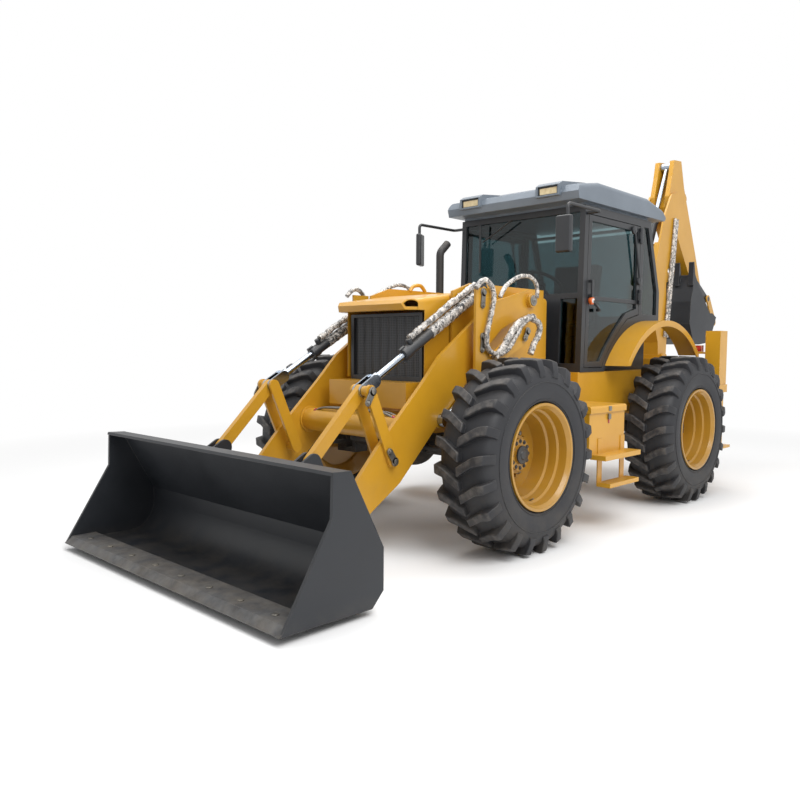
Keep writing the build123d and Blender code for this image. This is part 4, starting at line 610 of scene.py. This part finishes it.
# %% [markdown]
# ## Dump cylinders
# The upper pair of loader cylinders is the first thing one sees. Most of each barrel
# is still wrapped in film, with a wrapped hose along its top to a port by the
# gland. The wrap is a tube of rings pushed about by noise.

# %% Dump cylinder dressing
def along(start, end, distance, y=0.0, lift=0.0):
    """A place at a distance from one side-view point to another, in millimetres."""
    length = math.hypot(end[0] - start[0], end[1] - start[1])
    dx, dz = (end[0] - start[0]) / length, (end[1] - start[1]) / length
    return at(start[0] + dx * distance - dz * lift, y, start[1] + dz * distance + dx * lift)


for word, side in SIDES.items():
    y = side * 436
    wrap_end = 620 if side > 0 else 760
    route = [along(DUMP_BASE, LEVER_TOP, d, y) for d in range(60, wrap_end + 1, 60)]
    hose(f"dump_wrap_{word}", "dump_barrels", route, mm(36), film_on_barrel, mm(5), 6)
    lifts = [(30, 60), (90, 66), (200, 62), (330, 68), (460, 62), (600, 66), (700, 60), (770, 62)]
    route = [along(DUMP_BASE, LEVER_TOP, d, y - side * 8, lift) for d, lift in lifts]
    hose(f"dump_hose_{word}", "dump_barrels", route, mm(21), film_on_hose, mm(8), 4)
    bm = bmesh.new()
    add_rod(bm, along(DUMP_BASE, LEVER_TOP, 812, y), along(DUMP_BASE, LEVER_TOP, 876, y), mm(38),
            28, mm(3))
    add_rod(bm, along(DUMP_BASE, LEVER_TOP, 786, y, 30), along(DUMP_BASE, LEVER_TOP, 786, y, 66),
            mm(19), 18, mm(2))
    for lift in (42, -42):
        add_rod(bm, along(DUMP_BASE, LEVER_TOP, 844, y, lift),
                along(DUMP_BASE, LEVER_TOP, 894, y, lift), mm(9), 6, mm(1))
    hand_over(bm, f"dump_gland_{word}", "dump_barrels", black_paint)
print("dump cylinders dressed")

# %% [markdown]
# ## Tyres
# The solids' tyres are faceted so that they stay light. Here each is a smooth casing
# with the same 22 dog-leg bars a side. The casing is one outline spun about the axle.
# A bar starts as a block cut into slices along its length: each slice is shifted to
# follow the bar's bent middle line, then wrapped round the tread by its angle.

# %% Tyre casing
TYRE_R, TYRE_HALF, BEAD_R = 605, 202, 310
LUGS, LUG_HEIGHT, LUG_WIDE, LUG_LEAN = 22, 38, 56, 46
# radius and distance from the wheel's middle plane, from bead to crown
CASING = [(BEAD_R, 150), (BEAD_R + 10, 163), (BEAD_R + 24, 168), (BEAD_R + 34, 184), (BEAD_R + 70, 196),
          (BEAD_R + 110, 201), (BEAD_R + 160, 198), (BEAD_R + 206, 184), (TYRE_R - 64, 166),
          (TYRE_R - 48, 138), (TYRE_R - 40, 80), (TYRE_R - LUG_HEIGHT, 0)]


def add_casing(bm, hub):
    """The tyre's outline spun about the axle, with two raised rings on each sidewall."""
    outline = CASING + [(r, -y) for r, y in reversed(CASING[:-1])]
    verts = [bm.verts.new(hub + Vector((0, mm(y), mm(r)))) for r, y in outline]
    edges = [bm.edges.new(pair) for pair in zip(verts, verts[1:])]
    edges.append(bm.edges.new((verts[-1], verts[0])))
    bmesh.ops.spin(bm, geom=verts + edges, cent=hub, axis=LEFT, angle=math.tau, steps=96,
                   use_merge=True, use_duplicate=False)
    for side in SIDES.values():
        for radius, y, thick in ((BEAD_R + 44, 190, 3.0), (BEAD_R + 150, 200, 3.5)):
            ring = bmesh.ops.create_circle(bm, segments=6, radius=mm(thick))["verts"]
            edges = list({e for v in ring for e in v.link_edges})
            turn = Matrix.Translation(hub + Vector((0, side * mm(y), mm(radius))))
            bmesh.ops.transform(bm, matrix=turn @ Matrix.Rotation(math.pi / 2, 4, "Y"), verts=ring)
            bmesh.ops.spin(bm, geom=ring + edges, cent=hub, axis=LEFT, angle=math.tau, steps=96,
                           use_merge=True, use_duplicate=False)


def lean_at(y):
    """How far round the tread the bar's middle line lies, at a distance from the middle."""
    bend = 0.55 * TYRE_HALF
    if y < bend:
        share = (y + 6) / (bend + 6)
        return LUG_LEAN * (1 - 1.55 * share)
    share = min((y - bend) / (0.97 * TYRE_HALF - bend), 1.0)
    return LUG_LEAN * (-0.55 - 0.45 * share)


def bar_shape(side):
    """One bar at the top of a wheel whose middle is the world's origin."""
    bar = bmesh.new()
    bmesh.ops.create_cube(bar, size=1.0)
    lengthways = [e for e in bar.edges if abs(e.verts[0].co.y - e.verts[1].co.y) > 0.5]
    bmesh.ops.subdivide_edges(bar, edges=lengthways, cuts=9, use_grid_fill=True)
    for v in bar.verts:
        y = -6 + (v.co.y + 0.5) * (TYRE_HALF + 3)
        drop = max(0.0, (y - 0.86 * TYRE_HALF) / (0.14 * TYRE_HALF)) ** 1.6 * 88
        top = TYRE_R - 0.00016 * y * y - drop
        above = v.co.z > 0
        radius = top if above else min(TYRE_R - 3 * LUG_HEIGHT, top - 8)
        half_wide = LUG_WIDE / 2 * (1.0 if above else 1.28)
        turn = (lean_at(y) + math.copysign(half_wide, v.co.x)) / TYRE_R
        v.co = (mm(radius) * math.sin(turn), mm(side * y), mm(radius) * math.cos(turn))
    bmesh.ops.recalc_face_normals(bar, faces=bar.faces)
    soften(bar, list(bar.verts), mm(4), 1, 42)
    mesh = bpy.data.meshes.new("bar")
    bar.to_mesh(mesh)
    bar.free()
    return mesh


BARS = {side: bar_shape(side) for side in SIDES.values()}


def add_bars(bm, hub, side):
    """The bars of one side of the tread, turned round the axle."""
    for count in range(LUGS):
        turn = (count + (0.5 if side > 0 else 0)) * math.tau / LUGS
        before = len(bm.verts)
        bm.from_mesh(BARS[side])
        bm.verts.ensure_lookup_table()
        bmesh.ops.transform(bm, verts=bm.verts[before:],
                            matrix=Matrix.Translation(hub) @ Matrix.Rotation(turn, 4, "Y"))


WHEELS = [("front", "left"), ("front", "right"), ("rear", "left"), ("rear", "right")]
for axle, word in WHEELS:
    hub = middle(f"tyre_{axle}_{word}")
    bm = bmesh.new()
    add_casing(bm, hub)
    for side in SIDES.values():
        add_bars(bm, hub, side)
    print("tyre faces", len(bm.faces))
    surface = tyre_front if axle == "front" else tyre_rear
    piece = hand_over(bm, f"dressed_tyre_{axle}_{word}", f"wheel_{axle}_{word}", surface, 32)
    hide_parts(f"tyre_{axle}_{word}")

# %% [markdown]
# ## Wheel hubs
# A domed cover closes each hub, with a ring of bolts round it and a valve in the rim.
# Both turn with the wheel, so they ride on its body.

# %% Hub covers and valves
for axle, word in WHEELS:
    side = SIDES[word]
    hub = middle(f"tyre_{axle}_{word}")
    out = LEFT * side
    bm = bmesh.new()
    add_disc(bm, hub + out * mm(34), out, mm(58), mm(14), 40, mm(5))
    add_disc(bm, hub + out * mm(44), out, mm(34), mm(10), 32, mm(3), mm(26))
    for count in range(12):
        turn = count * math.tau / 12
        spot = hub + out * mm(16) + Vector((math.cos(turn), 0, math.sin(turn))) * mm(84)
        add_bolt(bm, spot, out, 0.016, 0.009)
    hand_over(bm, f"hub_cover_{axle}_{word}", f"wheel_{axle}_{word}", black_paint)
    bm = bmesh.new()
    for count in range(10):
        turn = (count + 0.5) * math.tau / 10
        spot = hub + out * mm(-62) + Vector((math.cos(turn), 0, math.sin(turn))) * mm(152)
        add_bolt(bm, spot, out, 0.026, 0.018)
    foot = hub + out * mm(90) + Vector((0, 0, -mm(BEAD_R - 30)))
    add_rod(bm, foot, foot + Vector((0, side * mm(30), mm(16))), mm(5), 12, mm(1))
    hand_over(bm, f"wheel_bolts_{axle}_{word}", f"wheel_{axle}_{word}", plain_steel)
print("hubs ready")

# %% [markdown]
# ## Loader hoses
# Rubber hoses run from the towers to the cylinders and bow out in loops, so that they
# can follow the arms. They still wear their clear film. Each is one smooth line through
# a few listed points on the machine's left, mirrored for the right.

# %% Tower hoses
# name, y, radius, points of (x, z)
TOWER_HOSES = [
    ("tower_loop", 612, 17,
     [(87, 1646), (37, 1699), (-35, 1704), (-96, 1644), (-98, 1566), (-62, 1461), (-26, 1357),
      (-24, 1280), (-78, 1231), (-198, 1228), (-275, 1268), (-353, 1349), (-421, 1432),
      (-491, 1475)]),
    ("tower_arch", 600, 15,
     [(-181, 1604), (-223, 1666), (-300, 1717), (-438, 1767), (-558, 1755), (-621, 1689),
      (-606, 1619)]),
    ("tower_bundle", 604, 24,
     [(-563, 1485), (-420, 1460), (-329, 1397), (-263, 1321), (-209, 1261), (-122, 1201)]),
    ("tower_bundle_rear", 604, 22,
     [(-505, 1482), (-591, 1464), (-654, 1424), (-632, 1353), (-572, 1296), (-537, 1227)]),
]
for label, y, radius, points in TOWER_HOSES:
    for word, side in SIDES.items():
        route = [at(x, side * y, z) for x, z in points]
        hose(f"{label}_{word}", "frame", route, mm(radius), film_on_hose, mm(radius / 4), 4)
print("tower hoses", 2 * len(TOWER_HOSES))

# %% [markdown]
# ## Lifting eye
# A bent bar welded on the hood lets a hook lift it. A short round line is enough.

# %% Lifting eye
EYE_ROUTE = [(50, 1655), (30, 1690), (-25, 1702), (-72, 1700), (-104, 1660)]
hose("lifting_eye", "bonnet", [at(x, 0, z) for x, z in EYE_ROUTE], mm(13), yellow, 0.0, 4)
print("eye ready")

# %% [markdown]
# ## Seat
# The seat is two padded pieces on a pedestal. A pad starts as a finely cut block: its
# top is crowned, its sides pull in between the corners, sewn channels are pressed into
# it, and smoothing rounds what is left sharp.

# %% Seat pads
def pad_shape(low, high, crown, face, channels):
    """A crowned, channelled pad between two places; face is the axis that swells."""
    bm = bmesh.new()
    bmesh.ops.create_cube(bm, size=2.0)
    bmesh.ops.subdivide_edges(bm, edges=bm.edges, cuts=27, use_grid_fill=True)
    half = (high - low) / 2
    others = [axis for axis in range(3) if axis != face]
    for v in bm.verts:
        spot = v.co.copy()
        a, b = (spot[axis] for axis in others)
        swell = (1 - a * a) * (1 - b * b)
        moved = Vector(spot[axis] * half[axis] for axis in range(3))
        moved[others[0]] *= 1 - 0.035 * (1 - b * b)
        moved[others[1]] *= 1 - 0.035 * (1 - a * a)
        if spot[face] > 0:
            groove = sum(math.exp(-((b - line) / 0.045) ** 2) for line in channels)
            moved[face] += (crown * swell - mm(7) * groove * (1 - a ** 4)) * spot[face]
        v.co = moved
    for _ in range(5):
        bmesh.ops.smooth_vert(bm, verts=bm.verts, factor=0.5, use_axis_x=True, use_axis_y=True,
                              use_axis_z=True)
    return bm


low, high = at(-2118, -232, 1372), at(-1650, 232, 1458)
bm = pad_shape(low, high, mm(12), 2, (-0.5, 0.5))
bmesh.ops.translate(bm, vec=(low + high) / 2, verts=bm.verts)
seat_cushion = hand_over(bm, "seat_cushion", "frame", seat_vinyl, 60)
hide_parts("operator_seat")

BACK_TILT = math.atan2(80, 540)
low, high = Vector((-mm(42), -mm(218), -mm(262))), Vector((mm(42), mm(218), mm(262)))
bm = pad_shape(low, high, mm(12), 0, (-0.45, 0.0, 0.45))
lean = Matrix.Translation(at(-2115, 0, 1742)) @ Matrix.Rotation(-BACK_TILT, 4, "Y")
bmesh.ops.transform(bm, matrix=lean, verts=bm.verts)
seat_back = hand_over(bm, "seat_back", "frame", seat_vinyl, 60)
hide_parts("operator_seat")

bm = bmesh.new()
add_block(bm, at(-2080, -150, 1097.6), at(-1760, 150, 1330), mm(14))
add_block(bm, at(-2100, -190, 1330), at(-1680, 190, 1372), mm(10))
for side in SIDES.values():
    add_block(bm, at(-2100, side * 232 - 12, 1340), at(-2060, side * 232 + 12, 1560), mm(5))
hand_over(bm, "seat_pedestal", "frame", panel_plastic)
print("seat ready")

# %% [markdown]
# ## Grille mesh
# A folded sheet with punched holes fills the front of the hood. The folds are one
# zigzag outline raised into a sheet; the holes are near-black dots in the finish,
# painted shade of the dark space seen through them, because thousands of tiny holes
# would cost more triangles than the rest of the machine.

# %% Grille mesh
def punched(name, pitch=0.011):
    made = finish(name, (srgb(58, 60, 64), srgb(70, 72, 75)), (0.4, 0.55), bump=0.2,
                  edge=(0.001, 0.2), dust=(0.6, 0.2))
    tree = made.node_tree
    shader = tree.nodes["Principled BSDF"]
    under = shader.inputs["Base Color"].links[0].from_socket
    split = node(tree, "SeparateXYZ", {0: node(tree, "TexCoord").outputs["Object"]})
    reach = []
    for axis in ("Y", "Z"):
        cell = maths(tree, "FRACT", maths(tree, "DIVIDE", split.outputs[axis], pitch))
        off = maths(tree, "SUBTRACT", cell, 0.5)
        reach.append(maths(tree, "MULTIPLY", off, off))
    distance = maths(tree, "SQRT", maths(tree, "ADD", reach[0], reach[1]))
    # Near-black dots for the holes: painted shade of the space behind the sheet
    hole = ramp(tree, distance, 0.38, 0.32)
    tree.links.new(blended(tree, hole, under, srgb(8, 8, 9)), shader.inputs["Base Color"])
    return made


mesh_sheet = punched("mesh_sheet")
FOLDS, GRILLE_HALF, GRILLE_X = 16, 338, 262
fold_pitch = (2 * GRILLE_HALF - 50) / FOLDS
bm = bmesh.new()
line = [at(GRILLE_X + (22 if k % 2 else 6), -GRILLE_HALF + 25 + k * fold_pitch, 1075)
        for k in range(FOLDS + 1)]
verts = [bm.verts.new(spot) for spot in line]
edges = [bm.edges.new(pair) for pair in zip(verts, verts[1:])]
raised = bmesh.ops.extrude_edge_only(bm, edges=edges)["geom"]
upper = [g for g in raised if isinstance(g, bmesh.types.BMVert)]
bmesh.ops.translate(bm, vec=(0, 0, mm(396)), verts=upper)
bmesh.ops.recalc_face_normals(bm, faces=bm.faces)
bmesh.ops.solidify(bm, geom=bm.faces, thickness=mm(1))
hand_over(bm, "grille_mesh", "frame", mesh_sheet, 20)
bm = bmesh.new()
vent = [(38, 1314), (37, 1392), (-103, 1440), (-104, 1380)]
for side in SIDES.values():
    face_y = side * 360
    add_plate(bm, vent, face_y - 1, face_y + 1)
hand_over(bm, "bonnet_vents", "bonnet", mesh_sheet)
print("grille ready")

# %% [markdown]
# ## Door hardware
# Each door turns on two domed hinges joined by a bar, and opens by a handle beside a
# round lock.

# %% Door hardware
for word, side in SIDES.items():
    bm = bmesh.new()
    for x, z in ((-1991, 2240), (-2103, 1830)):
        add_disc(bm, at(x, side * 612, z), LEFT, mm(34), mm(22), 32, mm(8))
    add_rod(bm, at(-1991, side * 618, 2240), at(-2103, side * 618, 1830), mm(9), 14)
    add_rod(bm, at(-1433, side * 628, 1565), at(-1327, side * 628, 1633), mm(10), 14, mm(4))
    add_block(bm, at(-1445, side * 614 - 14, 1552), at(-1419, side * 614 + 14, 1578), mm(4))
    hand_over(bm, f"door_hinges_{word}", f"door_{word}", black_paint)
    bm = bmesh.new()
    add_disc(bm, at(-1327, side * 615, 1633), LEFT, mm(30), mm(26), 32, mm(5))
    hand_over(bm, f"door_lock_{word}", f"door_{word}", amber_lens)
    bm = bmesh.new()
    add_disc(bm, at(-1327, side * 629, 1633), LEFT, mm(17), mm(8), 28, mm(3))
    hand_over(bm, f"door_lock_button_{word}", f"door_{word}", white_plastic)
print("door hardware ready")

# %% [markdown]
# The wiper is a thin arm from the head of the screen and an upright blade, both held
# just ahead of the glass.

# %% Wiper and its arm
bm = bmesh.new()
add_rod(bm, at(-1196, -46, 2300), at(-1192, -334, 2149), mm(6), 12)
add_block(bm, at(-1196, -372, 1900), at(-1184, -356, 2300), mm(3))
hand_over(bm, "wiper", "frame", black_paint)
print("wiper ready")

# %% [markdown]
# ## Bucket edge
# The cutting edge is a separate hard plate, rubbed bright and held by a row of bolts.
# A thin skin over the solid's edge lets it wear its own finish.

# %% Bucket edge
EDGE_TOP, EDGE_BACK, LIP = 79, 1813, 2003
EDGE_SECTION = [(EDGE_BACK - 1, EDGE_TOP - 2), (EDGE_BACK - 1, EDGE_TOP + 1.5),
                (LIP - 39, EDGE_TOP + 1.5), (LIP + 1, 42), (LIP + 1, 40), (LIP - 40, EDGE_TOP - 2)]
bm = bmesh.new()
add_plate(bm, EDGE_SECTION, -1103, 1103)
hand_over(bm, "bucket_edge", "loader_bucket", worn_edge, 20)
bm = bmesh.new()
for count in range(8):
    seat = at(LIP - 95, (count - 3.5) * 270, EDGE_TOP + 1.5)
    add_disc(bm, seat + UP * mm(2), UP, mm(17), mm(6), 24, mm(2))
hand_over(bm, "bucket_edge_bolts", "loader_bucket", plain_steel)
print("bucket edge ready")

# %% [markdown]
# ## Small fittings
# The last pieces are what a maker adds after painting: weld collars and steel lines on
# the torque tube, red tail lenses, lamp rims, a mirror's glass and the toolbox lock.

# %% Torque tube lines
TUBE_AT = (552, 770)
bm = bmesh.new()
for side in SIDES.values():
    add_disc(bm, at(TUBE_AT[0], side * 470, TUBE_AT[1]), LEFT, mm(92), mm(8), 40, mm(3))
hand_over(bm, "tube_collars", "loader_arms", yellow)
for label, ahead in (("front", 34), ("rear", -6)):
    points = [(-380, 60), (-330, 88), (-200, 94), (0, 94), (200, 94), (330, 88), (380, 60)]
    route = [at(TUBE_AT[0] + ahead, y, TUBE_AT[1] + z) for y, z in points]
    hose(f"tube_line_{label}", "loader_arms", route, mm(8), plain_steel, 0.0, 3)
bm = bmesh.new()
for side in SIDES.values():
    for ahead in (34, -6):
        add_rod(bm, at(TUBE_AT[0] + ahead, side * 366, TUBE_AT[1] + 72),
                at(TUBE_AT[0] + ahead, side * 394, TUBE_AT[1] + 54), mm(13), 18, mm(3))
hand_over(bm, "line_caps", "loader_arms", red_lens)
print("tube lines ready")

# %% Lamp rims and tail lenses
bm = bmesh.new()
for side in SIDES.values():
    inner, outer, low, high, front, thick = 291, 459, 2424.3, 2486, -1068, 7
    for y0, y1, z0, z1 in ((inner, outer, low, low + thick), (inner, outer, high - thick, high),
                           (inner, inner + thick, low, high), (outer - thick, outer, low, high)):
        ends = sorted((side * y0, side * y1))
        add_block(bm, at(front - 4, ends[0], z0), at(front + 3, ends[1], z1), mm(1.5))
hand_over(bm, "lamp_rims", "frame", black_paint)
bm = bmesh.new()
for side in SIDES.values():
    ends = sorted((side * 719, side * 811))
    add_block(bm, at(-2996.5, ends[0], 1239), at(-2939, ends[1], 1301), mm(6))
hand_over(bm, "tail_lenses", "frame", red_lens)
bm = bmesh.new()
add_block(bm, at(-825, 637, 1962), at(-821, 743, 2190), mm(2))
hand_over(bm, "mirror_glass_left", "frame", mirror_glass)
print("lamps and mirror ready")

# %% Toolbox lock
bm = bmesh.new()
add_block(bm, at(-1002, 981, 828), at(-962, 987, 862), mm(2))
hand_over(bm, "toolbox_hasp", "toolbox_lid", plain_steel)
bm = bmesh.new()
add_block(bm, at(-998, 971, 768), at(-966, 985, 806), mm(3))
hand_over(bm, "toolbox_lock", "frame", plain_steel)
bm = bmesh.new()
add_block(bm, at(-990, 972, 740), at(-974, 975, 768), mm(1))
hand_over(bm, "lock_tag", "frame", red_lens)
print("toolbox lock ready")

# %% [markdown]
# Two wrapped hoses lie along the boom's left face, from near its foot to near its head.

# %% Boom hoses
BOOM_FOOT, BOOM_HEAD, BOOM_FACE = (-3401, 1147), (-3626, 2755), 222
for label, lift in (("near", 26), ("far", -22)):
    route = [along(BOOM_FOOT, BOOM_HEAD, d, BOOM_FACE + 15 + (d % 200) / 40, lift)
             for d in range(240, 1450, 150)]
    hose(f"boom_hose_{label}", "boom", route, mm(15), film_on_hose, mm(4), 4)
print("boom hoses ready")

# %% [markdown]
# ## Floor, world and lamps
# A pale floor keeps the machine's shadow and fades to white further out. The world is
# white to the eye, glass and gloss, and plainer as a light, and two soft lamps shape it.

# %% Floor, world and lamps
def pale_floor():
    made = bpy.data.materials.new("pale_floor")
    made.use_nodes = True
    tree = made.node_tree
    tree.nodes.remove(tree.nodes["Principled BSDF"])
    place = node(tree, "TexCoord").outputs["Object"]
    reach = node(tree, "VectorMath", {0: place}, operation="LENGTH").outputs["Value"]
    path = node(tree, "LightPath")
    seen = maths(tree, "MAXIMUM", path.outputs["Is Camera Ray"], path.outputs["Is Glossy Ray"])
    seen = maths(tree, "MAXIMUM", seen, path.outputs["Is Transmission Ray"])
    far = maths(tree, "MULTIPLY", ramp(tree, reach, 3.6, 7.5), seen)
    cloth = node(tree, "BsdfDiffuse", {"Color": (0.9, 0.9, 0.9, 1.0)})
    white = node(tree, "Emission", {"Color": (1, 1, 1, 1), "Strength": 1.0})
    mixed = node(tree, "MixShader", {0: far, 1: cloth.outputs[0], 2: white.outputs[0]})
    tree.links.new(mixed.outputs[0], tree.nodes["Material Output"].inputs["Surface"])
    return made


bm = bmesh.new()
bmesh.ops.create_circle(bm, cap_ends=True, segments=64, radius=60)
floor_mesh = bpy.data.meshes.new("floor")
bm.to_mesh(floor_mesh)
bm.free()
floor_mesh.materials.append(pale_floor())
floor = bpy.data.objects.new("floor", floor_mesh)
bpy.context.scene.collection.objects.link(floor)

world = bpy.data.worlds.new("studio")
bpy.context.scene.world = world
world.use_nodes = True
tree = world.node_tree
path = node(tree, "LightPath")
seen = maths(tree, "MAXIMUM", path.outputs["Is Camera Ray"], path.outputs["Is Glossy Ray"])
seen = maths(tree, "MAXIMUM", seen, path.outputs["Is Transmission Ray"])
ambient = 0.58
tree.links.new(ramp(tree, seen, 0.0, 1.0, ambient, 1.0), tree.nodes["Background"].inputs["Strength"])
tree.nodes["Background"].inputs["Color"].default_value = (1, 1, 1, 1)


def softbox(name, spot, aim, size, power):
    light = bpy.data.lights.new(name, "AREA")
    light.shape = "SQUARE"
    light.size = size
    light.energy = power
    made = bpy.data.objects.new(name, light)
    bpy.context.scene.collection.objects.link(made)
    made.location = spot
    made.rotation_mode = "QUATERNION"
    made.rotation_quaternion = (Vector(aim) - Vector(spot)).to_track_quat("-Z", "Y")
    return made


centre = at(-1000, 0, 1200)
softbox("key", at(1500, 5200, 6500), centre, 5.0, 440)
softbox("top", at(-1500, -800, 7500), centre, 6.0, 380)
print("stage lit")
